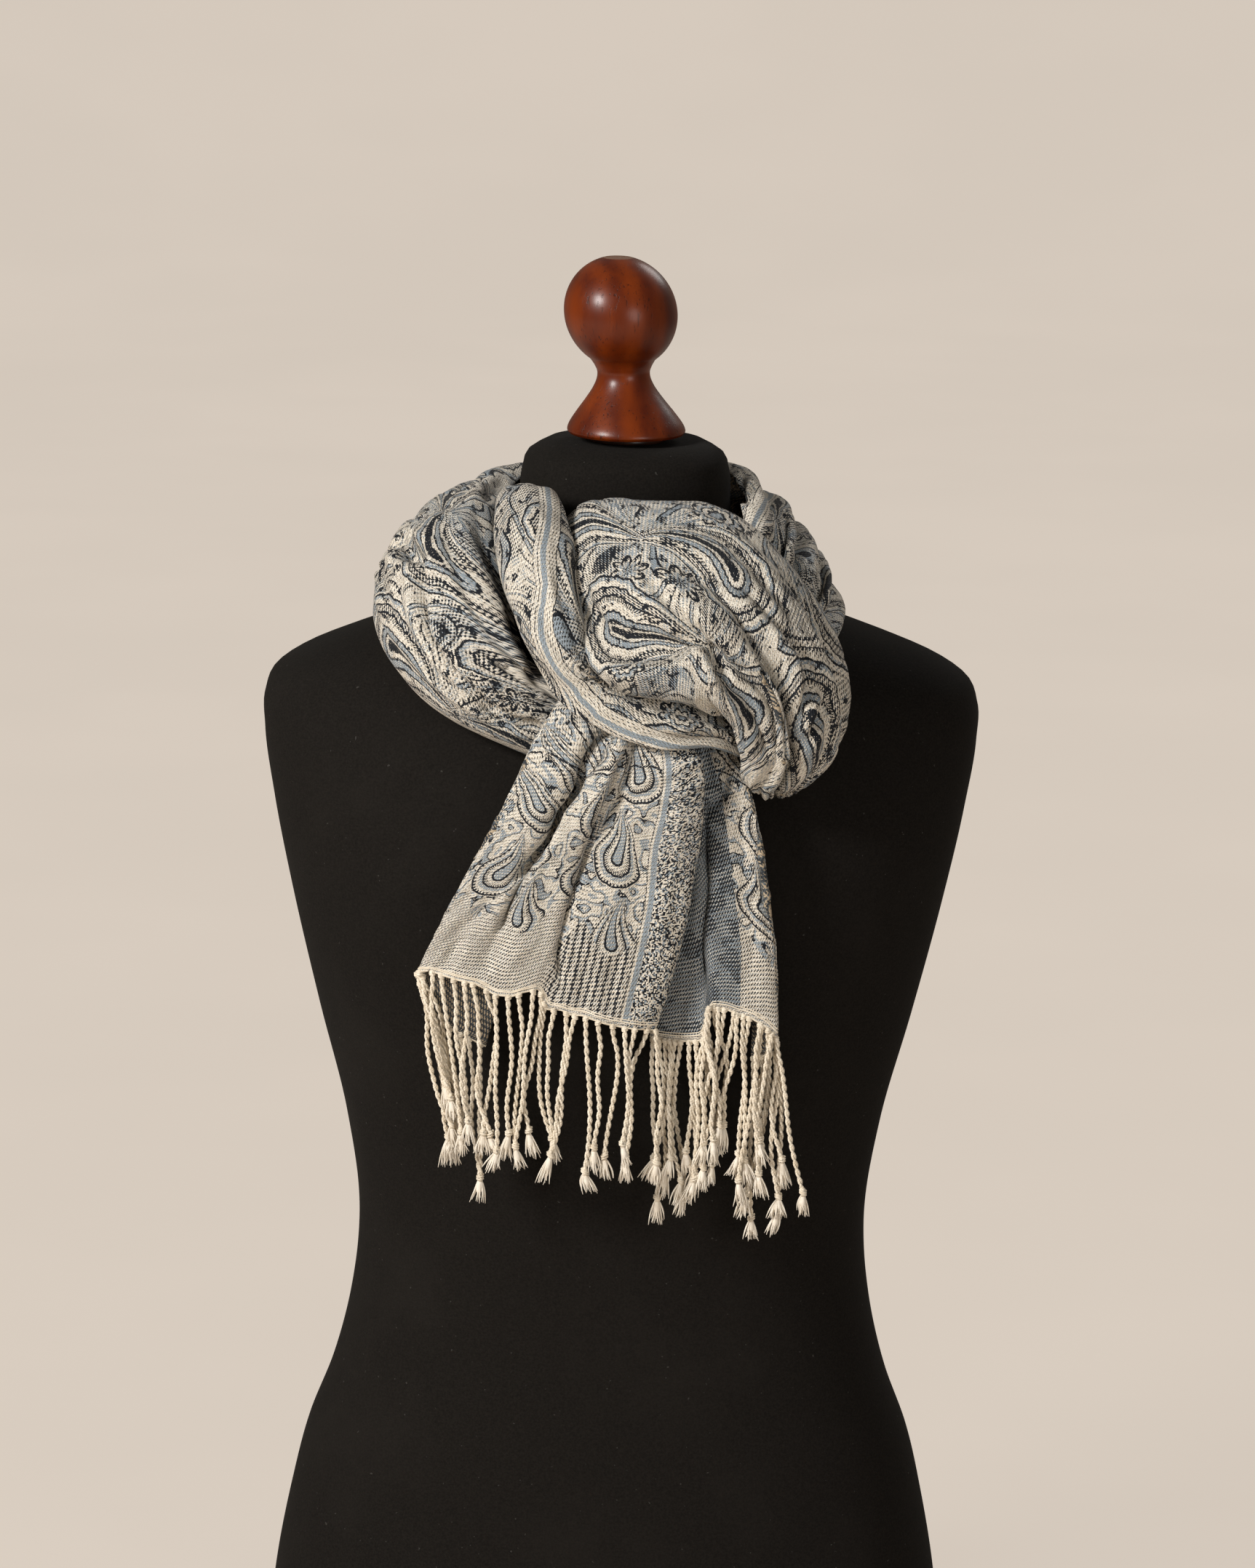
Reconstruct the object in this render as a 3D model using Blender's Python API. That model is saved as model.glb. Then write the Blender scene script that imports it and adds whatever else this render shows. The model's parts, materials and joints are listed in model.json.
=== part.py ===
"""Jacquard shawl tied in a pull-through knot round a limbless dress form with a turned wooden knob.

The tables below are in millimetres and degrees, and become metres as each mesh is made.
X runs to the viewer's right, the front faces -Y and Z is up. The origin is the middle of the
form's flat base.

The shawl is doubled, laid round the neck and its two ends are pulled through its own loop:
  strand     goes from under the loop, over the right shoulder, behind the neck and down the left
             front, and is cut into right_rolls, neck_back, left_lobe and loop_under
  cowl       is the wide front half of the loop, which hangs over the chest
  bight_turn is the loop's turned fold, which becomes the rim that grips the tails
  tails      are the two ends, front and rear, each with its fringe
"""

import math

import bpy
import numpy as np

MM = 0.001

# ---------------------------------------------------------------- driving dimensions
FORM_HEIGHT = 706.0  # flat base to the top of the neck pad
CLOTH = 2.0  # wall of every stretch of cloth
SEAM = 0.7  # space left between pieces that meet
REST = 2.3  # least space between cloth and form
FULLNESS = 2.2  # how flat the crest between two folds is, 1 being a straight slope
SHARP_ANGLE = 50.0  # an edge sharper than this many degrees is shown as an edge
STRANDS_PER_TAIL = 40
STRAND_WIDTH = 1.9
FRINGE_STRIP = 2.0  # height and thickness of the strip that a fringe grows from
HEM_SPACE = 1.1  # hem's middle line to the top of the strip

# ---------------------------------------------------------------- dress form
SECTION_POWER = 2.25  # 2 is an ellipse, more is squarer
FORM_SECTIONS = [
    # height, half width, front depth, back depth
    (0, 178, 103, 117),
    (45, 180, 105, 120),
    (95, 176, 104, 117),
    (140, 168, 101, 110),
    (177, 159, 98, 103),
    (209, 147, 95, 96),
    (250, 137, 93, 90),
    (296, 133, 94, 86),
    (350, 140, 100, 87),
    (410, 155, 110, 91),
    (470, 169, 117, 95),
    (520, 179, 111, 98),
    (555, 184, 98, 98),
    (573, 184, 89, 95),
    (586, 178, 82, 91),
    (595, 164, 77, 87),
    (604, 142, 71, 82),
    (613, 117, 66, 77),
    (624, 93, 61, 71),
    (638, 72, 56, 64),
    (655, 58, 52, 57),
    (675, 54, 50, 53),
    (692, 53, 49, 51),
    (701, 49, 45, 47),
    (706, 40, 36, 38),
]
FORM_SIDES = 36

# ---------------------------------------------------------------- knob
PLINTH_RADIUS = 21.0
PLINTH_HEIGHT = 2.6
KNOB_FOOT = FORM_HEIGHT + SEAM + PLINTH_HEIGHT + SEAM
KNOB_BALL_RADIUS = 29.0
KNOB_BALL_RISE = 62.0  # foot to the middle of the ball
KNOB_HEIGHT = 90.0  # foot to the flat disc on top
KNOB_LEAN = 0.065  # the knob stands a little askew, this far to the left for its height
KNOB_CONE = [
    # radius, height above the foot, up to where the ball starts
    (24.0, 0.0),
    (29.3, 0.0),
    (30.3, 1.8),
    (29.0, 5.3),
    (25.2, 10.8),
    (20.6, 16.8),
    (16.4, 22.8),
    (14.0, 27.8),
    (13.5, 31.8),
    (14.8, 35.3),
]
KNOB_SIDES = 28

# ---------------------------------------------------------------- cloth stretches
# A station is one cross-section of a stretch. Its outer and inner rails are the two sides of the
# fold, bulge is how far the crest stands above the line between them, lean shifts the crest
# towards the inner rail, and the curls say how far each side turns under, 90 being a half round.
STRAND_STATIONS = [
    # outer rail,      inner rail,      bulge, lean, outer curl, inner curl
    (86, -84, 580, 52, -78, 628, 6, 0, 95, 95),
    (102, -60, 604, 60, -55, 658, 9, 0, 98, 98),
    (111, -32, 615, 61, -30, 677, 11, 0, 100, 100),
    (111, 4, 619, 58, 4, 687, 12, 0, 100, 100),
    (100, 57, 613, 52, 44, 686, 15, 0, 98, 100),
    (58, 99, 604, 32, 66, 684, 19, 0, 98, 100),
    (0, 116, 601, 0, 72, 682, 19, 0, 98, 100),
    (-56, 101, 603, -32, 66, 681, 19, 0, 98, 100),
    (-98, 60, 614, -54, 44, 682, 21, 0, 98, 100),
    (-115, 13, 619, -63, 8, 679, 22, 0, 98, 100),
    (-120, -30, 615, -67, -30, 677, 27, 0, 100, 103),
    (-114, -63, 601, -67, -70, 662, 31, 0, 104, 100),
    (-89, -87, 581, -56, -98, 636, 28, 0, 106, 100),
    (-54, -99, 566, -40, -105, 609, 17, 0, 104, 100),
    (-12, -105, 552, -10, -108, 586, 8, 0, 98, 98),
    (30, -106, 545, 30, -108, 578, 7, 0, 95, 95),
    (62, -103, 542, 62, -105, 574, 7, 0, 95, 95),
]
STRAND_PIECES = [
    # name, station it starts at, steps along it
    ("right_rolls", 0.0, 9),
    ("neck_back", 3.5, 11),
    ("left_lobe", 8.5, 12),
    ("loop_under", 13.0, 4),
]

BIGHT_STATIONS = [
    (-62, -42, 664, -38, -48, 664, 9, 0, 100, 100),
    (-66, -60, 680, -33, -64, 683, 13, 0, 103, 100),
    (-64, -88, 668, -25, -92, 668, 17, 0, 106, 98),
    (-58, -110, 646, -20, -114, 645, 18, 0, 108, 95),
    (-46, -128, 622, -13, -126, 626, 17, 0, 108, 95),
    (-28, -140, 602, -3, -120, 609, 18, 0, 108, 92),
    (-4, -146, 589, 12, -115, 601, 19, 0, 108, 92),
    (24, -148, 581, 28, -114, 597, 18, 0, 108, 92),
    (46, -138, 578, 45, -115, 592, 11, 0, 105, 92),
    (60, -126, 570, 58, -114, 582, 5, 0, 100, 92),
]

COWL_STATIONS = [
    (-25, -92, 634, -30, -56, 675, 2, 0, 90, 90),
    (-11, -117, 623, -14.5, -67, 686, 14, 0, 96, 100),
    (3, -138, 620.2, 14, -75, 687, 27, -4, 102, 108),
    (22, -148, 618, 50, -75, 683, 33, -6, 106, 108),
    (40, -152, 612, 81, -82, 656, 32, -6, 108, 108),
    (55, -150, 595, 104, -92, 620, 28, -3, 106, 108),
    (63, -145, 574, 107, -96, 584, 24, 0, 106, 110),
    (62, -132, 550, 92, -100, 550, 17, 0, 104, 112),
]

TAIL_FRONT_STATIONS = [
    (-31, -127.7, 598, 24, -129.7, 588, 7, 0, 120, 92),
    (-44, -133.7, 576, 40, -137.7, 571, 8, 0, 150, 92),
    (-58, -134, 545, 42, -140, 545, 9, 0, 155, 92),
    (-77, -134, 508, 39, -140, 515, 10, 0, 155, 92),
    (-90, -134, 482, 32, -140, 478, 10, 0, 155, 92),
    (-100, -133, 461, 21, -139, 435, 10, 0, 155, 92),
]
TAIL_REAR_STATIONS = [
    (12, -114.5, 586, 50, -114.5, 586, 4, 0, 90, 110),
    (14, -117, 561, 59, -117.5, 569, 5, 0, 90, 130),
    (16, -119, 529, 69, -125, 542, 7, 0, 90, 140),
    (18, -119, 492, 75, -127, 510, 8, 0, 90, 145),
    (19, -119, 458, 81, -127, 476, 8, 0, 90, 145),
    (18, -119, 428, 82, -127, 438, 8, 0, 90, 145),
]

# A fold is a valley that runs along a stretch. Its place goes from -1 at the outer side to 1 at the
# inner side, and its depth is how far it sinks below the crests beside it, both read at even
# steps from the stretch's start to its end.
STRAND_FOLDS = [
    # places from start to end,                    depths from start to end
    ((-0.55, -0.64, -0.60, -0.62, -0.66, -0.50, -0.40), (8, 10, 8, 6, 4, 3, 4)),
    ((-0.15, -0.30, -0.25, -0.25, -0.33, -0.12, 0.10), (9, 10, 7, 6, 6, 11, 4)),
    ((0.20, 0.10, 0.10, 0.15, 0.22, 0.50, 0.55), (8, 10, 7, 5, 3, 5, 2)),
    ((0.58, 0.52, 0.52, 0.55, 0.72, 0.82, 0.88), (6, 9, 6, 5, 3, 3, 1)),
]
BIGHT_FOLDS = [
    ((-0.30, -0.25, -0.20, -0.30, -0.25), (2, 4, 6, 5, 3)),
    ((0.35, 0.42, 0.45, 0.35, 0.40), (2, 3, 5, 4, 3)),
]
COWL_FOLDS = [
    ((-0.50, -0.40, -0.35, -0.58, -0.82, -0.86, -0.80, -0.60), (2, 4, 5, 4, 2, 2, 3, 3)),
    ((0.30, 0.25, 0.15, -0.25, -0.58, -0.54, -0.25, 0.00), (0, 1, 3, 9, 12, 12, 10, 6)),
    ((0.65, 0.65, 0.60, 0.32, 0.02, 0.02, 0.14, 0.25), (0, 0, 1, 3, 4, 4, 4, 3)),
    ((0.86, 0.86, 0.82, 0.66, 0.44, 0.50, 0.48, 0.48), (0, 0, 1, 3, 8, 11, 11, 7)),
]
TAIL_FRONT_FOLDS = [
    ((-0.05, -0.10, -0.35, -0.58, -0.74, -0.80), (6, 8, 8, 6, 4, 2)),
    ((0.25, 0.19, 0.10, 0.00, 0.06, 0.16), (6, 6, 6, 5, 4, 4)),
]
TAIL_REAR_FOLDS = [
    ((0.30, 0.28, 0.30, 0.40, 0.45, 0.45), (4, 4, 3, 2, 2, 2)),
]

# How far the hem hangs below the rails, by place across the tail.
TAIL_FRONT_HEM = [(-1.75, 30), (-1.2, 10), (-1.0, 6), (-0.6, 2), (0.1, 1), (0.2, 6), (1.0, 0)]
TAIL_REAR_HEM = [(-1.0, 0), (0.5, 0), (1.0, 8), (1.3, 20), (1.7, 22)]

# Fringe strands get longer and shorter in turn, by these lengths from root to tip.
STRAND_LENGTHS = (92, 78, 99, 84, 70, 95, 88, 62, 97, 81, 90)
STRAND_SWAY = 1.2
STRAND_SHAPE = [
    # share of the length, share of STRAND_WIDTH: cord, knot and tassel
    (0.12, 0.8),
    (0.80, 0.85),
    (0.86, 1.5),
    (1.00, 1.9),
]

COLOURS = {
    "jersey": ((0.012, 0.011, 0.010), 0.85),
    "wood": ((0.18, 0.045, 0.016), 0.28),
    "dark_wood": ((0.06, 0.020, 0.010), 0.40),
    "jacquard": ((0.40, 0.42, 0.41), 0.70),
    "fringe": ((0.72, 0.64, 0.50), 0.80),
}


def through(values, at, knots=None):
    """Smooth curve through the values, read at the places asked for. Knots default to 0, 1, 2..."""
    values = np.asarray(values, float)
    knots = np.arange(len(values), dtype=float) if knots is None else np.asarray(knots, float)
    slopes = np.gradient(values, knots, axis=0)
    at = np.clip(np.asarray(at, float), knots[0], knots[-1])
    left = np.clip(np.searchsorted(knots, at, side="right") - 1, 0, len(knots) - 2)
    span = knots[left + 1] - knots[left]
    part = (at - knots[left]) / span
    if values.ndim > 1:
        span = span[..., None]
        part = part[..., None]
    start = values[left] * (1 + 2 * part) * (1 - part) ** 2
    start_slope = slopes[left] * span * part * (1 - part) ** 2
    end = values[left + 1] * part**2 * (3 - 2 * part)
    end_slope = slopes[left + 1] * span * part**2 * (part - 1)
    return start + start_slope + end + end_slope


def unit(vectors):
    return vectors / np.linalg.norm(vectors, axis=-1, keepdims=True)


def material(name):
    colour, roughness = COLOURS[name]
    made = bpy.data.materials.get(name)
    if made is None:
        made = bpy.data.materials.new(name)
        made.use_nodes = True
        shader = made.node_tree.nodes["Principled BSDF"]
        shader.inputs["Base Color"].default_value = (*colour, 1)
        shader.inputs["Roughness"].default_value = roughness
        made.diffuse_color = (*colour, 1)
    return made


def add_object(name, points, faces, finish):
    mesh = bpy.data.meshes.new(name)
    mesh.from_pydata([tuple(point * MM) for point in points], [], faces)
    mesh.materials.append(material(finish))
    mesh.shade_smooth()
    mesh.set_sharp_from_angle(angle=math.radians(SHARP_ANGLE))
    bpy.context.scene.collection.objects.link(bpy.data.objects.new(name, mesh))


# ---------------------------------------------------------------- the form and its knob
def form_sizes(height):
    heights, *sizes = np.array(FORM_SECTIONS, float).T
    return [np.interp(height, heights, size) for size in sizes]


def form_gap(points):
    """Space from each point to the form, less than 0 inside it, and the way out."""

    def level(at):
        half, front, back = form_sizes(at[..., 2])
        depth = np.where(at[..., 1] < 0, front, back)
        reach = np.abs(at[..., 0] / half) ** SECTION_POWER + np.abs(at[..., 1] / depth) ** SECTION_POWER
        return reach ** (1 / SECTION_POWER) - 1

    step = 0.5
    slope = np.stack(
        [level(points + step * axis) - level(points - step * axis) for axis in np.eye(3)], axis=-1
    ) / (2 * step)
    steepness = np.linalg.norm(slope, axis=-1)
    return level(points) / steepness, slope / steepness[..., None]


def off_form(points, space):
    """The points, those too near the form moved straight out from it."""
    for _ in range(8):
        gap, out = form_gap(points)
        points = points + np.maximum(space - gap, 0)[..., None] * out
    return points


def ring_faces(rings, sides):
    faces = []
    for ring in range(rings - 1):
        for side in range(sides):
            following = (side + 1) % sides
            low = ring * sides
            high = low + sides
            faces.append((low + side, low + following, high + following, high + side))
    faces.append(tuple(reversed(range(sides))))
    faces.append(tuple(range((rings - 1) * sides, rings * sides)))
    return faces


def make_form():
    turns = np.linspace(0, 2 * math.pi, FORM_SIDES, endpoint=False)
    points = []
    for height, half, front, back in FORM_SECTIONS:
        for turn in turns:
            across = math.copysign(abs(math.cos(turn)) ** (2 / SECTION_POWER), math.cos(turn))
            along = math.copysign(abs(math.sin(turn)) ** (2 / SECTION_POWER), math.sin(turn))
            points.append((across * half, along * (front if along < 0 else back), height))
    add_object("dress_form", np.array(points), ring_faces(len(FORM_SECTIONS), FORM_SIDES), "jersey")


def turned(name, profile, foot, lean, finish):
    """A solid of revolution from (radius, height) pairs, foot first."""
    turns = np.linspace(0, 2 * math.pi, KNOB_SIDES, endpoint=False)
    points = [
        (radius * math.cos(turn) - lean * height, radius * math.sin(turn), foot + height)
        for radius, height in profile
        for turn in turns
    ]
    add_object(name, np.array(points), ring_faces(len(profile), KNOB_SIDES), finish)


def make_knob():
    plinth = [(PLINTH_RADIUS, 0.0), (PLINTH_RADIUS, PLINTH_HEIGHT)]
    turned("knob_plinth", plinth, FORM_HEIGHT + SEAM, 0.0, "dark_wood")
    ball_start = math.asin((KNOB_CONE[-1][1] + 3.0 - KNOB_BALL_RISE) / KNOB_BALL_RADIUS)
    ball_end = math.asin((KNOB_HEIGHT - KNOB_BALL_RISE) / KNOB_BALL_RADIUS)
    ball = [
        (KNOB_BALL_RADIUS * math.cos(rise), KNOB_BALL_RISE + KNOB_BALL_RADIUS * math.sin(rise))
        for rise in np.linspace(ball_start, ball_end, 11)
    ]
    turned("knob", KNOB_CONE + ball, KNOB_FOOT, KNOB_LEAN, "wood")


# ---------------------------------------------------------------- cloth
def angle_of(place):
    """Angle round a section for a place across it: -1 and 1 are its two sides."""
    inside = np.arcsin(np.clip(place, -1, 1))
    beyond = np.sign(place) * np.maximum(np.abs(place) - 1, 0) * math.pi / 2
    return inside + beyond


def cloth_grid(stations, folds, along, per_roll, hem):
    """Points of a stretch's outer face, a row for each place along it."""
    stations = np.array(stations, float)
    table = through(stations, along)
    outer, inner = table[:, 0:3], table[:, 3:6]
    bulge, lean, outer_curl, inner_curl = table[:, 6:].T
    middle = (stations[:, 0:3] + stations[:, 3:6]) / 2
    ahead = through(middle, along + 0.02) - through(middle, along - 0.02)
    across = unit(inner - outer)
    up = unit(np.cross(ahead, across))
    half = np.linalg.norm(inner - outer, axis=1) / 2
    centre = (outer + inner) / 2

    progress = along / (len(stations) - 1)
    lines = [(-np.radians(outer_curl), np.zeros(len(along)))]
    for places, depths in folds:
        knots = np.linspace(0, 1, len(places))
        lines.append((angle_of(through(places, progress, knots)), through(depths, progress, knots)))
    lines.append((np.radians(inner_curl), np.zeros(len(along))))

    columns = []
    for (angle, depth), (next_angle, next_depth) in zip(lines, lines[1:]):
        last = next_angle is lines[-1][0]
        for step in np.arange(per_roll + last) / per_roll:
            turn = angle + (next_angle - angle) * step
            sunk = (depth + (next_depth - depth) * step) * abs(2 * step - 1) ** FULLNESS
            columns.append((turn, sunk))
    turns = np.array([column[0] for column in columns]).T
    sunk = np.array([column[1] for column in columns]).T

    sine, cosine = np.sin(turns), np.cos(turns)
    x = half[:, None] * sine + lean[:, None] * np.maximum(cosine, 0)
    y = bulge[:, None] * cosine
    steep = np.hypot(bulge[:, None] * sine, half[:, None] * cosine)
    x = x - sunk * bulge[:, None] * sine / steep
    y = y - sunk * half[:, None] * cosine / steep
    grid = centre[:, None] + x[..., None] * across[:, None] + y[..., None] * up[:, None]
    if hem:
        over = np.abs(turns) * 2 / math.pi
        places = np.where(over <= 1, sine, np.sign(turns) * over)
        hem_places, drops = np.array(hem, float).T
        grid[..., 2] -= np.interp(places, hem_places, drops) * progress[:, None] ** 2
    return grid


def grid_normals(grid):
    return unit(np.cross(np.gradient(grid, axis=0), np.gradient(grid, axis=1)))


def wall(name, outer, inner):
    """One closed wall from its two faces, joined round the rim."""
    rows, columns = outer.shape[:2]
    points = np.concatenate([outer.reshape(-1, 3), inner.reshape(-1, 3)])
    back = rows * columns

    def at(row, column):
        return row * columns + column

    faces = []
    for row in range(rows - 1):
        for column in range(columns - 1):
            quad = (at(row, column), at(row + 1, column), at(row + 1, column + 1), at(row, column + 1))
            faces.append(quad)
            faces.append(tuple(back + corner for corner in reversed(quad)))
    rim = [at(row, 0) for row in range(rows)]
    rim += [at(rows - 1, column) for column in range(1, columns)]
    rim += [at(row, columns - 1) for row in range(rows - 2, -1, -1)]
    rim += [at(0, column) for column in range(columns - 2, 0, -1)]
    for corner, following in zip(rim, rim[1:] + rim[:1]):
        faces.append((following, corner, back + corner, back + following))
    add_object(name, points, faces, "jacquard")


def cloth_faces(stations, folds, along, per_roll, hem=None):
    """Outer and inner face of a stretch, clear of the form."""
    grid = cloth_grid(stations, folds, along, per_roll, hem)
    inner = off_form(grid - CLOTH * grid_normals(grid), REST)
    outer = inner + CLOTH * grid_normals(inner)
    return outer, inner


def make_cloth(name, stations, folds, rows, per_roll, hem=None):
    """A whole stretch of cloth as a closed wall. Returns its hem line."""
    along = np.linspace(0, len(stations) - 1, rows)
    outer, inner = cloth_faces(stations, folds, along, per_roll, hem)
    wall(name, outer, inner)
    return (outer[-1] + inner[-1]) / 2


def trimmed(outer, inner):
    """Both faces drawn back from their two ends, square to each end, by half a seam."""
    outer, inner = outer.copy(), inner.copy()
    for end, way in ((0, 1), (-1, -1)):
        edge = np.gradient((outer[end] + inner[end]) / 2, axis=0)
        ahead = unit(np.cross(edge, outer[end] - inner[end]))
        outer[end] += way * ahead * SEAM / 2
        inner[end] += way * ahead * SEAM / 2
    return outer, inner


def make_strand():
    """The strand is shaped whole and then parted, so that its stretches meet at their seams."""
    starts = [piece[1] for piece in STRAND_PIECES] + [len(STRAND_STATIONS) - 1]
    spans = [
        np.linspace(start, end, piece[2], endpoint=False)
        for piece, start, end in zip(STRAND_PIECES, starts, starts[1:])
    ]
    along = np.concatenate(spans + [[starts[-1]]])
    outer, inner = cloth_faces(STRAND_STATIONS, STRAND_FOLDS, along, 4)
    row = 0
    for name, _, steps in STRAND_PIECES:
        rows = slice(row, row + steps + 1)
        wall(name, *trimmed(outer[rows], inner[rows]))
        row += steps


# ---------------------------------------------------------------- fringe
def along_line(line, count):
    """Points at even steps along a line of points."""
    lengths = np.concatenate([[0], np.cumsum(np.linalg.norm(np.diff(line, axis=0), axis=1))])
    steps = np.linspace(0, lengths[-1], count)
    return np.stack([np.interp(steps, lengths, line[:, axis]) for axis in range(3)], axis=1)


def make_fringe(name, hem_line):
    """A narrow strip just below the hem, with a strand drawn down from every second length of it."""
    line = along_line(hem_line, 2 * STRANDS_PER_TAIL + 2)
    forward = np.gradient(line, axis=0)
    sideways = unit(np.cross(forward, (0, 0, 1)))
    down = unit(np.cross(sideways, forward))
    down *= -np.sign(down[:, 2:])
    line = line + down * HEM_SPACE
    half = sideways * FRINGE_STRIP / 2
    drop = down * FRINGE_STRIP
    # Four corners at each point of the strip: front top, front foot, back foot, back top.
    corners = np.stack([line + half, line + half + drop, line - half + drop, line - half], axis=1)
    points = list(corners.reshape(-1, 3))
    faces = []
    for step in range(len(line) - 1):
        here = [4 * step + corner for corner in range(4)]
        there = [4 * (step + 1) + corner for corner in range(4)]
        faces.append((here[0], here[1], there[1], there[0]))
        faces.append((here[2], here[3], there[3], there[2]))
        faces.append((here[3], here[0], there[0], there[3]))
        root = (here[1], here[2], there[2], there[1])
        if step % 2:
            strand = step // 2
            faces += hang_strand(points, root, strand)
        else:
            faces.append(root)
    last = 4 * (len(line) - 1)
    faces.append((3, 2, 1, 0))
    faces.append((last, last + 1, last + 2, last + 3))
    add_object(name, np.array(points), faces, "fringe")


def hang_strand(points, root, strand):
    """Adds a strand's rings under its root and returns its faces: a cord, a knot and a tassel."""
    length = STRAND_LENGTHS[strand % len(STRAND_LENGTHS)]
    corners = np.array([points[index] for index in root])
    middle = corners.mean(axis=0)
    shape = (corners - middle) / np.abs(corners - middle).max()
    sway = np.array((math.sin(2.4 * strand), 0.6 * math.cos(1.7 * strand), 0))
    faces = []
    above = root
    for share, width in STRAND_SHAPE:
        centre = middle + sway * STRAND_SWAY * share - np.array((0, 0, length * share))
        ring = centre + shape * (1, 1, 0) * STRAND_WIDTH / 2 * width
        below = tuple(range(len(points), len(points) + 4))
        points.extend(ring)
        for corner in range(4):
            following = (corner + 1) % 4
            faces.append((above[corner], above[following], below[following], below[corner]))
        above = below
    faces.append(above)
    return faces


def clear_scene():
    for thing in list(bpy.data.objects):
        bpy.data.objects.remove(thing)


def main():
    clear_scene()
    make_form()
    make_knob()
    make_strand()
    make_cloth("bight_turn", BIGHT_STATIONS, BIGHT_FOLDS, 18, 5)
    make_cloth("cowl", COWL_STATIONS, COWL_FOLDS, 16, 4)
    front_hem = make_cloth(
        "tail_front", TAIL_FRONT_STATIONS, TAIL_FRONT_FOLDS, 10, 6, TAIL_FRONT_HEM
    )
    rear_hem = make_cloth("tail_rear", TAIL_REAR_STATIONS, TAIL_REAR_FOLDS, 9, 6, TAIL_REAR_HEM)
    make_fringe("fringe_front", front_hem)
    make_fringe("fringe_rear", rear_hem)


main()
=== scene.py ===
"""Looks of a jacquard shawl tied in a pull-through knot round a limbless dress form.

Lengths are in millimetres up to add_mesh, which makes them metres. The cloth is laid as the
solids' is, from tables of its own, with a fine grid, small creases and a woven pattern.
"""
import json
import math

import bpy
import numpy as np
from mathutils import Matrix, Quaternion, Vector

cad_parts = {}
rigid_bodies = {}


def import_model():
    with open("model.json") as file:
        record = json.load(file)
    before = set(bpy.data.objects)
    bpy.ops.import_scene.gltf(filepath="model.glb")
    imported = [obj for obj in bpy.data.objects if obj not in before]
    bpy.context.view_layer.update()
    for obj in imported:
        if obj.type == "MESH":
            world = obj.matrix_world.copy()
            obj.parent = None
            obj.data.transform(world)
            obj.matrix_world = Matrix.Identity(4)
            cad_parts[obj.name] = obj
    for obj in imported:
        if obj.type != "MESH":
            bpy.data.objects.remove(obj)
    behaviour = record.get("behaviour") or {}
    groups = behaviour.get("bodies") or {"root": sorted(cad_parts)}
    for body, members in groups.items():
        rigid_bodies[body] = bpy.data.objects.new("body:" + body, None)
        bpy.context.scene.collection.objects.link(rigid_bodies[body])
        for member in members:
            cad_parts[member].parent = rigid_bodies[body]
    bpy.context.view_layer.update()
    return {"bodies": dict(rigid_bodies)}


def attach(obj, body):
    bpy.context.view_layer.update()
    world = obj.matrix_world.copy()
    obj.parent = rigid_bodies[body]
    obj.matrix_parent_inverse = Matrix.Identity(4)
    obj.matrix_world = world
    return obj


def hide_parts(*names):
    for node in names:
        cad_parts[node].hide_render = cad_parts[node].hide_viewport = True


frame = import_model()

MM = 0.001
TO_MM = 1000.0
PHOTO_HEIGHT = 2156


def table(text):
    """Rows of numbers, with commas between the rows."""
    return [tuple(float(number) for number in row.split()) for row in text.split(",")]


# ---- camera
CAMERA_TARGET = Vector((0.004, -0.020, 0.530))
CAMERA_FAR = 3.0
CAMERA_PITCH = math.radians(13.0)
CAMERA_ROLL = math.radians(1.1)
PIXEL_AT_TARGET = 0.000375
SENSOR = 36.0


def add_object(name, data):
    thing = bpy.data.objects.new(name, data)
    bpy.context.scene.collection.objects.link(thing)
    return thing


def turn_to(thing, way, roll=0.0):
    """Turns a camera or lamp to look along a way."""
    thing.rotation_mode = "QUATERNION"
    thing.rotation_quaternion = way.to_track_quat("-Z", "Y") @ Quaternion((0, 0, 1), roll)


def make_camera():
    data = bpy.data.cameras.new("photo_camera")
    data.sensor_fit = "VERTICAL"
    data.sensor_height = SENSOR
    data.lens = SENSOR * CAMERA_FAR / (PHOTO_HEIGHT * PIXEL_AT_TARGET)
    camera = add_object("photo_camera", data)
    back = Vector((0, -math.cos(CAMERA_PITCH), math.sin(CAMERA_PITCH)))
    camera.location = CAMERA_TARGET + CAMERA_FAR * back
    turn_to(camera, -back, CAMERA_ROLL)
    bpy.context.scene.camera = camera


make_camera()

# ---- sizes shared with the solids
FORM_HEIGHT = 706.0
SEAM = 0.7
CLOTH = 2.0  # wall of the solids, on whose outer face the thin cloth lies
REST = 2.3  # least space between the form and the wall's inner face
FULLNESS = 2.2
SECTION_POWER = 2.25
# Height, half width, front depth and back depth.
FORM_SECTIONS = table("""
0 178 103 117, 45 180 105 120, 95 176 104 117, 140 168 101 110,
177 159 98 103, 209 147 95 96, 250 137 93 90, 296 133 94 86,
350 140 100 87, 410 155 110 91, 470 169 117 95, 520 179 111 98,
555 184 98 98, 573 184 89 95, 586 178 82 91, 595 164 77 87,
604 142 71 82, 613 117 66 77, 624 93 61 71, 638 72 56 64,
655 58 52 57, 675 54 50 53, 692 53 49 51, 701 49 45 47,
706 40 36 38
""")
PLINTH_RADIUS = 21.0
PLINTH_HEIGHT = 2.6
KNOB_FOOT = FORM_HEIGHT + SEAM + PLINTH_HEIGHT + SEAM
KNOB_BALL_RADIUS = 29.0
KNOB_BALL_RISE = 62.0
KNOB_HEIGHT = 90.0
KNOB_LEAN = 0.065
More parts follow.
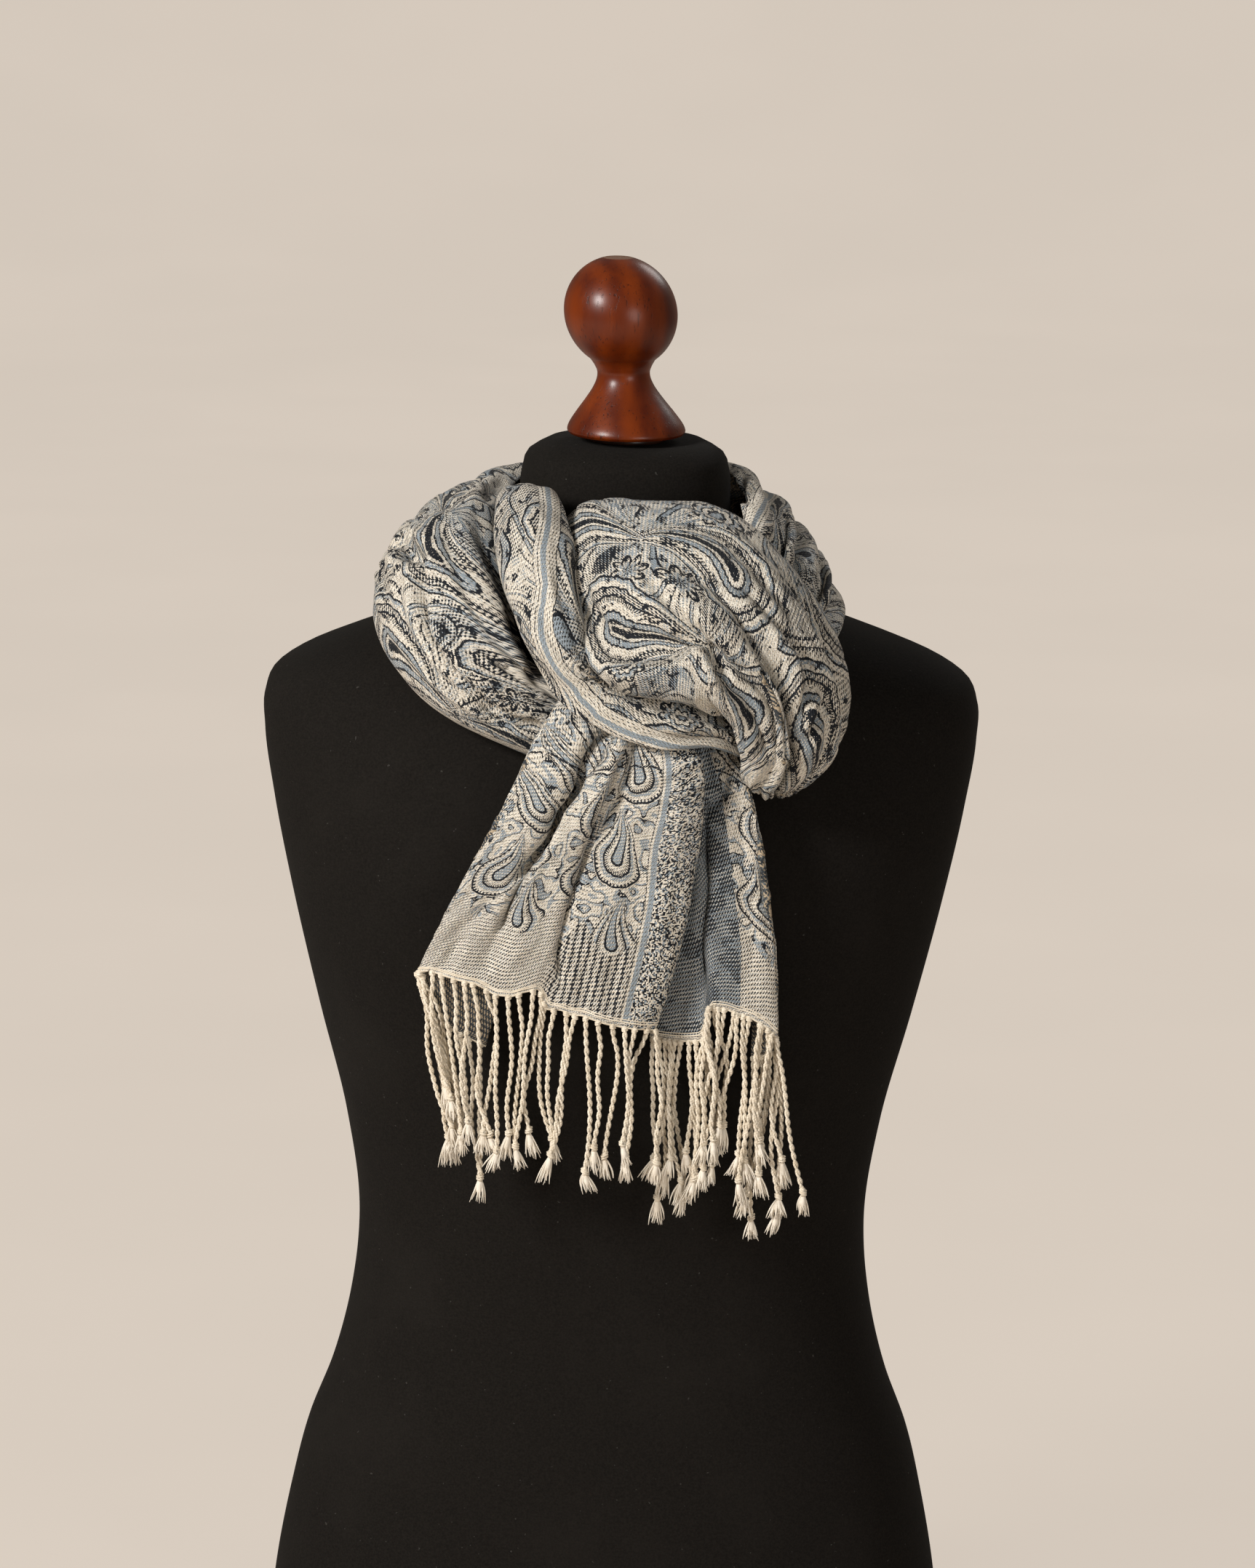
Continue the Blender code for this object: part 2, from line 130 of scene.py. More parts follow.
# Radius and height above the foot.
KNOB_CONE = table("""
24 0, 29.3 0, 30.3 1.8, 29 5.3, 25.2 10.8,
20.6 16.8, 16.4 22.8, 14 27.8, 13.5 31.8, 14.8 35.3
""")

# A station is a stretch's cross section: the points of its outer and inner rails, then its
# bulge, lean, outer curl and inner curl, the curls in degrees.
STRAND_STATIONS = table("""
86 -84 580 52 -78 628 6 0 95 95, 102 -60 604 60 -55 658 9 0 98 98,
111 -32 615 61 -30 677 11 0 100 100, 111 4 619 58 4 687 12 0 100 100,
100 57 613 52 44 686 15 0 98 100, 58 99 604 32 66 684 19 0 98 100,
0 116 601 0 72 682 19 0 98 100, -56 101 603 -32 66 681 19 0 98 100,
-98 60 614 -54 44 682 21 0 98 100, -115 13 619 -63 8 679 22 0 98 100,
-120 -30 615 -67 -30 677 27 0 100 103, -114 -63 601 -67 -70 662 31 0 104 100,
-89 -87 581 -56 -98 636 28 0 106 100, -54 -99 566 -40 -105 609 17 0 104 100,
-12 -105 552 -10 -108 586 8 0 98 98, 30 -106 545 30 -108 578 7 0 95 95,
62 -103 542 62 -105 574 7 0 95 95
""")
BIGHT_STATIONS = table("""
-62 -42 664 -38 -48 664 9 0 100 100, -66 -60 680 -33 -64 683 13 0 103 100,
-64 -88 668 -25 -92 668 17 0 106 98, -58 -110 646 -20 -114 645 18 0 108 95,
-46 -128 622 -16 -126 624 16 0 108 95, -28 -140 602 -9 -121 600 16 0 108 92,
-4 -146 589 7 -117 588 16 0 108 92, 24 -148 581 26 -116 585 15 0 108 92,
46 -138 578 44 -115 584 10 0 105 92, 60 -126 570 58 -114 582 5 0 100 92
""")

COWL_STATIONS = table("""
-27 -104 630 -30 -56 675 2 0 90 90, -16 -134 617 -14.5 -67 686 15 0 112 100,
0 -150 607 14 -75 687 26 -4 130 108, 21 -156 606 50 -75 683 31 -6 132 108,
40 -157 603 81 -82 656 31 -6 120 108, 55 -152 594 104 -92 620 28 -3 108 108,
63 -145 574 107 -96 584 24 0 106 110, 62 -133 558 92 -101 558 15 0 104 112,
66 -123 553 89 -102 554 9 0 100 106, 69 -112 555 86 -103 557 4 0 96 100
""")

TAIL_FRONT_STATIONS = table("""
-31 -127.7 598 24 -129.7 588 7 0 120 92, -44 -133.7 576 40 -137.7 571 8 0 150 92,
-58 -134 545 42 -140 545 9 0 155 92, -77 -134 508 39 -140 515 10 0 155 92,
-90 -134 482 32 -140 478 10 0 155 92, -100 -133 461 21 -139 435 10 0 155 92
""")
TAIL_REAR_STATIONS = table("""
12 -114.5 586 50 -114.5 586 4 0 90 110, 14 -117 561 59 -117.5 569 5 0 90 130,
16 -119 529 69 -125 542 7 0 90 140, 18 -119 492 75 -127 510 8 0 90 145,
19 -119 458 81 -127 476 8 0 90 145, 18 -119 428 82 -127 438 8 0 90 145
""")

# A fold is a valley that runs along a stretch, given by its places and then its depths at even
# steps. A place goes from -1 at the outer side to 1 at the inner side, and a depth is how far the
# fold sinks below the crests beside it.
STRAND_FOLDS = table("""
-.55 -.64 -.6 -.62 -.66 -.5 -.4, 8 10 8 5 2.5 2 4,
-.15 -.3 -.25 -.25 -.33 -.12 .1, 9 10 7 5 2 5 4,
.2 .1 .1 .15 .22 .5 .55, 8 10 7 4 1.5 3 2,
.58 .52 .52 .55 .72 .82 .88, 6 9 6 5 3 3 1
""")
BIGHT_FOLDS = table("""
-.3 -.25 -.2 -.3 -.25, .5 1.2 2 4.5 3,
.35 .42 .45 .35 .4, .5 .8 1.5 3.5 3
""")
COWL_FOLDS = table("""
-.45 -.5 -.56 -.62 -.74 -.86 -.8 -.6, 3 10 15 13 7 3 3 3,
.3 .25 .15 -.25 -.58 -.54 -.25 0, 0 1 3 9 12 12 10 6,
.65 .65 .6 .32 .02 .02 .14 .25, 0 0 1 3 4 4 4 3,
.86 .86 .82 .66 .44 .5 .48 .48, 0 0 1 3 8 11 11 7
""")
TAIL_FRONT_FOLDS = table("""
-.05 -.1 -.35 -.58 -.74 -.8, 6 8 8 6 4 2,
.25 .19 .1 0 .06 .16, 6 6 6 5 4 4
""")
TAIL_REAR_FOLDS = table("""
.3 .28 .3 .4 .45 .45, 4 4 3 2 2 2
""")

# How far the hem hangs below the rails, by place across the tail.
TAIL_FRONT_HEM = table("""
-1.75 36, -1.5 30, -1.3 20, -1.12 6, -1 2.5, -.9 .2, -.68 0, -.5 -.6, -.33 2.4, -.2 1.3, -.11 -1.9, .03
-5.5, .1 4.1, .22 3, .28 4.1, .39 2.6, .6 4, 1 3.2
""")
TAIL_REAR_HEM = table("""
-.94 5, -.45 7.7, -.14 7.8, -.06 -9, .2 -6.8, .37 -3.6, .6 -.4, .83 5, 1 13, 1.1 20, 1.61 23
""")

SHELL = 0.9  # thickness of the cloth that shows


# ---- shaping
def through(values, at, knots=None):
    """Smooth curve through the values, read at the places asked for. Knots default to 0, 1, 2..."""
    values = np.asarray(values, float)
    knots = np.arange(len(values), dtype=float) if knots is None else np.asarray(knots, float)
    slopes = np.gradient(values, knots, axis=0)
    at = np.clip(np.asarray(at, float), knots[0], knots[-1])
    left = np.clip(np.searchsorted(knots, at, side="right") - 1, 0, len(knots) - 2)
    span = knots[left + 1] - knots[left]
    part = (at - knots[left]) / span
    if values.ndim > 1:
        span = span[..., None]
        part = part[..., None]
    start = values[left] * (1 + 2 * part) * (1 - part) ** 2
    start_slope = slopes[left] * span * part * (1 - part) ** 2
    end = values[left + 1] * part**2 * (3 - 2 * part)
    end_slope = slopes[left + 1] * span * part**2 * (part - 1)
    return start + start_slope + end + end_slope


def unit(vectors):
    return vectors / np.maximum(np.linalg.norm(vectors, axis=-1, keepdims=True), 1e-9)


def ripple(first, second, seed):
    """Smooth random field over two coordinates, from -1 to 1, with humps one unit apart."""
    cell_a, cell_b = np.floor(first).astype(np.int64), np.floor(second).astype(np.int64)
    part_a, part_b = first - cell_a, second - cell_b
    ease_a = part_a**3 * (part_a * (part_a * 6 - 15) + 10)
    ease_b = part_b**3 * (part_b * (part_b * 6 - 15) + 10)

    def corner(step_a, step_b):
        mixed = (cell_a + step_a) * 374761393 + (cell_b + step_b) * 668265263 + seed * 2147483
        mixed = (mixed ^ (mixed >> 13)) * 1274126177
        turn = ((mixed ^ (mixed >> 16)) & 0xFFFF) / 65536.0 * 2 * math.pi
        return np.cos(turn) * (part_a - step_a) + np.sin(turn) * (part_b - step_b)

    low = corner(0, 0) * (1 - ease_a) + corner(1, 0) * ease_a
    high = corner(0, 1) * (1 - ease_a) + corner(1, 1) * ease_a
    return (low * (1 - ease_b) + high * ease_b) * 1.6


def form_sizes(height):
    heights, *sizes = np.array(FORM_SECTIONS, float).T
    return [np.interp(height, heights, size) for size in sizes]


def form_gap(points):
    """Space from each point to the form, less than 0 inside it, and the way out."""

    def level(at):
        half, front, back = form_sizes(at[..., 2])
        depth = np.where(at[..., 1] < 0, front, back)
        shares = [np.abs(at[..., 0] / half), np.abs(at[..., 1] / depth)]
        return sum(share**SECTION_POWER for share in shares) ** (1 / SECTION_POWER) - 1

    step = 0.5
    slope = np.stack(
        [level(points + step * axis) - level(points - step * axis) for axis in np.eye(3)], axis=-1
    ) / (2 * step)
    steepness = np.linalg.norm(slope, axis=-1)
    return level(points) / steepness, slope / steepness[..., None]


def off_form(points, space):
    for _ in range(6):
        gap, out = form_gap(points)
        points = points + np.maximum(space - gap, 0)[..., None] * out
    return points


def angle_of(place):
    inside = np.arcsin(np.clip(place, -1, 1))
    beyond = np.sign(place) * np.maximum(np.abs(place) - 1, 0) * math.pi / 2
    return inside + beyond


def cloth_grid(stations, folds, along, per_roll, hem):
    """Points of a stretch's outer face as the solids have them, and each point's place across."""
    stations = np.array(stations, float)
    table = through(stations, along)
    outer, inner = table[:, 0:3], table[:, 3:6]
    bulge, lean, outer_curl, inner_curl = table[:, 6:].T
    middle = (stations[:, 0:3] + stations[:, 3:6]) / 2
    ahead = through(middle, along + 0.02) - through(middle, along - 0.02)
    across = unit(inner - outer)
    up = unit(np.cross(ahead, across))
    half = np.linalg.norm(inner - outer, axis=1) / 2
    centre = (outer + inner) / 2

    progress = along / (len(stations) - 1)
    lines = [(-np.radians(outer_curl), np.zeros(len(along)))]
    for places, depths in zip(folds[::2], folds[1::2]):
        knots = np.linspace(0, 1, len(places))
        lines.append((angle_of(through(places, progress, knots)), through(depths, progress, knots)))
    lines.append((np.radians(inner_curl), np.zeros(len(along))))

    columns = []
    for (angle, depth), (next_angle, next_depth) in zip(lines, lines[1:]):
        last = next_angle is lines[-1][0]
        for step in np.arange(per_roll + last) / per_roll:
            turn = angle + (next_angle - angle) * step
            sunk = (depth + (next_depth - depth) * step) * abs(2 * step - 1) ** FULLNESS
            columns.append((turn, sunk))
    turns = np.array([column[0] for column in columns]).T
    sunk = np.array([column[1] for column in columns]).T

    sine, cosine = np.sin(turns), np.cos(turns)
    x = half[:, None] * sine + lean[:, None] * np.maximum(cosine, 0)
    y = bulge[:, None] * cosine
    steep = np.hypot(bulge[:, None] * sine, half[:, None] * cosine)
    x = x - sunk * bulge[:, None] * sine / steep
    y = y - sunk * half[:, None] * cosine / steep
    grid = centre[:, None] + x[..., None] * across[:, None] + y[..., None] * up[:, None]
    over = np.abs(turns) * 2 / math.pi
    places = np.where(over <= 1, sine, np.sign(turns) * over)
    if hem:
        hem_places, drops = np.array(hem, float).T
        grid[..., 2] -= np.interp(places, hem_places, drops) * progress[:, None] ** 2
    return grid, places


def grid_normals(grid):
    return unit(np.cross(np.gradient(grid, axis=0), np.gradient(grid, axis=1)))


def relaxed(grid, times):
    """The grid with each point but the outermost drawn halfway to its neighbours' middle."""
    for _ in range(times):
        padded = np.pad(grid, ((1, 1), (1, 1), (0, 0)), mode="edge")
        mean = (padded[:-2, 1:-1] + padded[2:, 1:-1] + padded[1:-1, :-2] + padded[1:-1, 2:]) / 4
        moved = (grid + mean) / 2
        moved[0], moved[-1] = grid[0], grid[-1]
        moved[:, 0], moved[:, -1] = grid[:, 0], grid[:, -1]
        grid = moved
    return grid


def arcs(grid, axis):
    """Distance along the grid's lines, from their starts."""
    steps = np.linalg.norm(np.diff(grid, axis=axis), axis=2)
    return np.cumsum(np.insert(steps, 0, 0, axis=axis), axis=axis)


def run_of(line):
    """Distance along a line of points, from its start."""
    return np.concatenate([[0], np.cumsum(np.linalg.norm(np.diff(line, axis=0), axis=1))])


def even_along(stations, step):
    """Places along a stretch whose rows are a step apart."""
    stations = np.array(stations, float)
    fine = np.linspace(0, len(stations) - 1, 600)
    middle = through((stations[:, 0:3] + stations[:, 3:6]) / 2, fine)
    length = run_of(middle)
    rows = int(length[-1] * 1.1 / step)
    return np.interp(np.linspace(0, length[-1], rows), length, fine)


def nearest_on(points, line):
    """For each point: distance from the line, share of the way along it, offset and the line's way."""
    best = np.full(len(points), 1e9)
    share = np.zeros(len(points))
    offset = np.zeros(points.shape)
    way = np.zeros(points.shape)
    for number, (start, end) in enumerate(zip(line, line[1:])):
        edge = end - start
        part = np.clip(((points - start) @ edge) / max(edge @ edge, 1e-9), 0, 1)
        apart = points - start - part[:, None] * edge
        gap = np.linalg.norm(apart, axis=1)
        nearer = gap < best
        best[nearer] = gap[nearer]
        share[nearer] = ((number + part) / (len(line) - 1))[nearer]
        offset[nearer] = apart[nearer]
        way[nearer] = unit(edge)
    return best, share, offset, way


def hump(value):
    return np.exp(-(value**2))


def creased(grid, along_share, places, creases):
    """The grid pushed in along given lines, by depth and width.

    A negative depth raises a ridge. Lean draws one side of a crease over it as an overlapping tuck:
    the left side, going along the line, where it is positive.
    """
    normals = grid_normals(grid)
    push = np.zeros(grid.shape)
    for depth, width, lean, *points in creases:
        line = []
        for share, place in zip(points[::2], points[1::2]):
            row = int(np.argmin(np.abs(along_share - share)))
            column = int(np.argmin(np.abs(places[row] - place)))
            line.append(grid[row, column])
        line = through(np.array(line), np.linspace(0, len(line) - 1, 5 * len(line)))
        reach = 4.5 * width
        near = np.all((grid > line.min(axis=0) - reach) & (grid < line.max(axis=0) + reach), axis=-1)
        gap, part, offset, way = nearest_on(grid[near], line)
        sideways = unit(np.cross(way, normals[near]))
        aside = np.sum(offset * sideways, axis=1)
        gap = np.maximum(gap, np.abs(aside))
        taper = np.sin(math.pi * np.clip(0.07 + part * 0.86, 0, 1)) ** 0.7
        valley = np.exp(-((gap / width) ** 1.35))
        shoulder = hump((gap - 2.0 * width) / (0.95 * width))
        sink = taper * depth * (0.24 * shoulder * (depth > 0) - valley)
        side = math.copysign(1, lean) if lean else 1
        above = hump((side * aside + 1.2 * width) / (1.1 * width))
        below = hump((side * aside - 0.2 * width) / (0.9 * width))
        beyond = hump(np.maximum(gap - np.abs(aside), 0) / width)
        shift = taper * lean * (above - 0.7 * below) * beyond
        push[near] += sink[:, None] * normals[near] + shift[:, None] * sideways
    return grid + push


# ---- meshes
def add_mesh(name, points, faces, materials, face_materials=None, uvs=None):
    mesh = bpy.data.meshes.new(name)
    mesh.from_pydata((np.asarray(points) * MM).tolist(), [], faces)
    for material in materials:
        mesh.materials.append(material)
    if face_materials is not None:
        mesh.polygons.foreach_set("material_index", face_materials)
    for layer_name, values in (uvs or {}).items():
        layer = mesh.uv_layers.new(name=layer_name)
        corners = np.empty(len(mesh.loops), np.int64)
        mesh.loops.foreach_get("vertex_index", corners)
        layer.data.foreach_set("uv", np.asarray(values)[corners].astype(np.float32).ravel())
    mesh.shade_smooth()
    mesh.update()
    return add_object(name, mesh)


def circle(sides):
    """Cosines and sines of even turns."""
    turns = np.linspace(0, 2 * math.pi, sides, endpoint=False)
    return np.cos(turns), np.sin(turns)


def ring_faces(count, sides):
    """Faces between rings of points, without the two ends."""
    base = np.arange((count - 1) * sides)
    right = base - base % sides + (base + 1) % sides
    return np.stack([base, right, right + sides, base + sides], axis=1).tolist()


def closed_rings(rings):
    """Points and faces of a closed skin over rings of points."""
    count, sides = rings.shape[:2]
    ends = [list(range(sides))[::-1], list(range((count - 1) * sides, count * sides))]
    return rings.reshape(-1, 3), ring_faces(count, sides) + ends


def grid_quads(rows, columns):
    corner = np.arange((rows - 1) * columns).reshape(rows - 1, columns)[:, :-1].ravel()
    return np.stack([corner, corner + columns, corner + columns + 1, corner + 1], axis=1)


def shell(name, outer, thickness, materials, uvs):
    """Thin closed cloth from its outer face: the right side, the wrong side and the rim."""
    rows, columns = outer.shape[:2]
    normals = grid_normals(outer)
    inner = outer - normals * thickness
    points = np.concatenate([outer.reshape(-1, 3), inner.reshape(-1, 3)])
    back = rows * columns
    front_faces = grid_quads(rows, columns)
    back_faces = front_faces[:, ::-1] + back
    index = np.arange(back).reshape(rows, columns)
    rim = np.concatenate([index[:, 0], index[-1, 1:], index[-2::-1, -1], index[0, -2:0:-1]])
    following = np.roll(rim, -1)
    rim_faces = np.stack([following, rim, rim + back, following + back], axis=1)
    faces = np.concatenate([front_faces, back_faces, rim_faces])
    kinds = np.zeros(len(faces), np.int32)
    kinds[len(front_faces) : 2 * len(front_faces)] = 1
    both = {key: np.concatenate([value.reshape(-1, 2)] * 2) for key, value in uvs.items()}
    return add_mesh(name, points, faces.tolist(), materials, kinds, both)


def tube(path, radius, sides):
    """Points and faces of a tube along a path, with a radius for each point of it."""
    path = np.asarray(path, float)
    radius = np.broadcast_to(radius, len(path))
    ahead = unit(np.gradient(path, axis=0))
    reference = (0.0, 1.0, 0.0) if abs(ahead[:, 1]).max() < 0.9 else (1.0, 0.0, 0.0)
    side = unit(np.cross(ahead, reference))
    up = np.cross(side, ahead)
    cosine, sine = [part[None, :, None] for part in circle(sides)]
    ring = cosine * side[:, None] + sine * up[:, None]
    return closed_rings(path[:, None] + ring * radius[:, None, None])


class Bundle:
    """Several tubes gathered into one mesh."""

    def __init__(self):
        self.points = []
        self.faces = []
        self.uvs = []
        self.kinds = []
        self.count = 0

    def add(self, skin, kind=0, uvs=None):
        points, faces = skin
        self.faces.extend([[index + self.count for index in face] for face in faces])
        self.points.append(points)
        self.uvs.append(np.zeros((len(points), 2)) if uvs is None else uvs)
        self.kinds.extend([kind] * len(faces))
        self.count += len(points)

    def mesh(self, name, materials):
        points, uvs = np.concatenate(self.points), np.concatenate(self.uvs)
        return add_mesh(name, points, self.faces, materials, self.kinds, {"UVMap": uvs})


# ---- shader formulas
class Num:
    """A number made by shader nodes, so that a pattern's formulas can be written as they read."""

    def __init__(self, source):
        self.source = source

    def of(self, operation, *others):
        node = self.source.id_data.nodes.new("ShaderNodeMath")
        node.operation = operation
        for place, value in enumerate((self, *others)):
            put(node.inputs[place], value)
        return Num(node.outputs[0])

    def __rsub__(self, other):
        return self * -1 + other

    def odd(self):
        return self.of("FLOORED_MODULO", 2.0)

    def smooth(self, low, high):
        node = self.source.id_data.nodes.new("ShaderNodeMapRange")
        node.interpolation_type = "SMOOTHSTEP"
        set_inputs(node, Value=self, From_Min=low, From_Max=high)
        return Num(node.outputs["Result"])


NUM_METHODS = {
    "__add__": "ADD",
    "__radd__": "ADD",
    "__sub__": "SUBTRACT",
    "__mul__": "MULTIPLY",
    "__rmul__": "MULTIPLY",
    "__truediv__": "DIVIDE",
    "__gt__": "GREATER_THAN",
    "__lt__": "LESS_THAN",
    "__abs__": "ABSOLUTE",
    "floor": "FLOOR",
    "fract": "FRACT",
    "sin": "SINE",
    "root": "SQRT",
    "most": "MAXIMUM",
    "least": "MINIMUM",
}
for method, operation in NUM_METHODS.items():
    setattr(Num, method, lambda self, *others, does=operation: self.of(does, *others))


def put(socket, value):
    """Sets a socket to a colour or number, or links it to a Num or another socket."""
    if isinstance(value, Num):
        value = value.source
    if isinstance(value, bpy.types.NodeSocket):
        socket.id_data.links.new(value, socket)
    elif isinstance(value, tuple):
        socket.default_value = (*value, 1)
    else:
        socket.default_value = value


def set_inputs(node, **values):
    """Sets inputs by name, with _ in place of each space."""
    for name, value in values.items():
        put(node.inputs[name.replace("_", " ")], value)


def vector(x, y, z=0.0):
    node = x.source.id_data.nodes.new("ShaderNodeCombineXYZ")
    set_inputs(node, X=x, Y=y, Z=z)
    return node.outputs[0]


def split(socket):
    colour = socket.type == "RGBA"
    kind = "ShaderNodeSeparateColor" if colour else "ShaderNodeSeparateXYZ"
    node = socket.id_data.nodes.new(kind)
    put(node.inputs[0], socket)
    return [Num(output) for output in list(node.outputs)[:3]]


def cloud(at, detail=1.0, rough=0.5, scale=1.0):
    """Three smooth random fields."""
    node = at.id_data.nodes.new("ShaderNodeTexNoise")
    set_inputs(node, Vector=at, Scale=scale, Detail=detail, Roughness=rough)
    return split(node.outputs["Color"])


def chance_at(at):
    """Three random numbers for a whole-numbered place."""
    node = at.id_data.nodes.new("ShaderNodeTexWhiteNoise")
    node.noise_dimensions = "3D"
    put(node.inputs["Vector"], at)
    return split(node.outputs["Color"])


def bands(value, rows):
    """Dark, blue and extra amounts, by a table of where each band starts."""
    node = value.source.id_data.nodes.new("ShaderNodeValToRGB")
    node.color_ramp.interpolation = "CONSTANT"
    stops = node.color_ramp.elements
    while len(stops) < len(rows):
        stops.new(1.0)
    for stop, (start, *amounts) in zip(stops, rows):
        stop.position = start
        stop.color = (*amounts, 1)
    put(node.inputs["Fac"], value)
    return split(node.outputs["Color"])


def pick(choice, yes, no):
    """yes where choice is 1, no where it is 0."""
    return no + (yes - no) * choice


def blend(amount, first, second):
    node = amount.source.id_data.nodes.new("ShaderNodeMix")
    node.data_type = "RGBA"
    put(node.inputs["Factor"], amount)
    put(node.inputs["A"], first)
    put(node.inputs["B"], second)
    return node.outputs["Result"]


def new_material(name):
    material = bpy.data.materials.new(name)
    material.use_nodes = True
    tree = material.node_tree
    return material, tree, tree.nodes["Principled BSDF"]


def uv_place(tree, name):
    """Place on one of the UV maps."""
    node = tree.nodes.new("ShaderNodeUVMap")
    node.uv_map = name
    return split(node.outputs[0])[:2]


# ---- the jacquard
# Each row of a band table is: where the band starts, share of dark threads, share of blue
# threads, and extra, which is 1 for a row of teeth.
BOTEH_BANDS = table("""
0 .97 0 0, .065 .05 .1 0, .135 .99 0 0, .168 .08 .75 0,
.265 .99 0 0, .3 .12 .08 0, .42 .06 .06 1, .488 .99 0 0,
.52 .48 .16 0, .61 .99 0 0, .64 .06 .06 0, .71 .08 .65 0,
.755 .99 0 0, .792 .05 .05 0
""")
SMALL_BANDS = table("""
0 .05 .75 0, .16 .99 .05 0, .24 .08 .2 0, .38 .06 .1 1,
.5 .99 .05 0, .57 .08 .65 0, .7 .06 .12 0, .8 .06 .12 1,
.88 .99 .05 0, .95 .06 .12 0
""")
FLOW_BANDS = table("""
0 .14 .12 0, .32 .99 0 0, .353 .07 .62 0, .445 .99 0 0,
.475 .1 .08 0, .68 .07 .06 1, .74 .99 0 0, .77 .1 .1 0,
.91 .5 .22 0
""")
ROSE_BANDS = table("""
0 .1 .9 0, .08 .99 .05 0, .125 .05 .1 0, .2 .99 .05 0,
.238 .08 .65 0, .295 .05 .1 1, .355 .99 0 0, .395 .05 .1 0
""")
# Across the border stripe, from -16 to 16 mm. Extra is 1 where the border hides the pattern.
BORDER_BANDS = table("""
0 0 0 0, .33 .55 .1 1, .345 .06 .15 1, .4 .7 .05 1,
.415 .03 .1 1, .455 .06 .93 1, .54 .03 .05 1, .59 .5 .05 1,
.602 .03 .08 1, .64 .4 .1 1, .655 .05 .08 1, .7 .85 .05 1,
.72 0 0 0
""")
ROSE_CELL = 30
ROSE_REACH = 0.42
ROSE_CHANCE = 0.35  # share of the cells that have none
REAR_TAIL = 1750.0  # length along the flat cloth at which the rear tail starts
CREAM = (0.60, 0.545, 0.455)
PALE = (0.74, 0.69, 0.60)
TAN = (0.43, 0.345, 0.24)
BLUE = (0.235, 0.275, 0.305)
NAVY = (0.008, 0.010, 0.014)
FAINT = (0.115, 0.105, 0.085)


def boteh(wx, wy, rows, wide, high, radius, tip, bend, reach, petals, teeth, turned):
    """Rows of curved teardrops with nested outlines, every second row turned over where turned is 1."""
    column = (wx / wide).floor()
    odd = column.odd()
    shifted = wy + odd * (high / 2)
    row = (shifted / high).floor()
    lx = (wx - (column + 0.5) * wide) * (1 - odd * 2)
    ly = (shifted - (row + 0.5) * high) * (1 - row.odd() * (2 * turned))
    lx = lx * (1 - row.odd() * (2 * (1 - turned)))
    lx, ly = lx * 0.94 + ly * 0.34, ly * 0.94 - lx * 0.34
    ly = ly + (tip - radius) * 0.33
    up = ly.most(0.0)
    down = ly.least(0.0)
    bent = lx - up * up * bend
    narrow = (1 - up / tip).most(0.04)
    far = (bent * bent + down * down).root() / narrow
    turn = lx.of("ARCTAN2", ly)
    ring = far / radius - abs((turn * petals).sin()) * 0.02
    dark, blue, extra = bands(ring, rows)
    dark = dark + extra * ((turn * teeth).sin() > 0.0) * 0.8
    return ring < reach, dark, blue, far


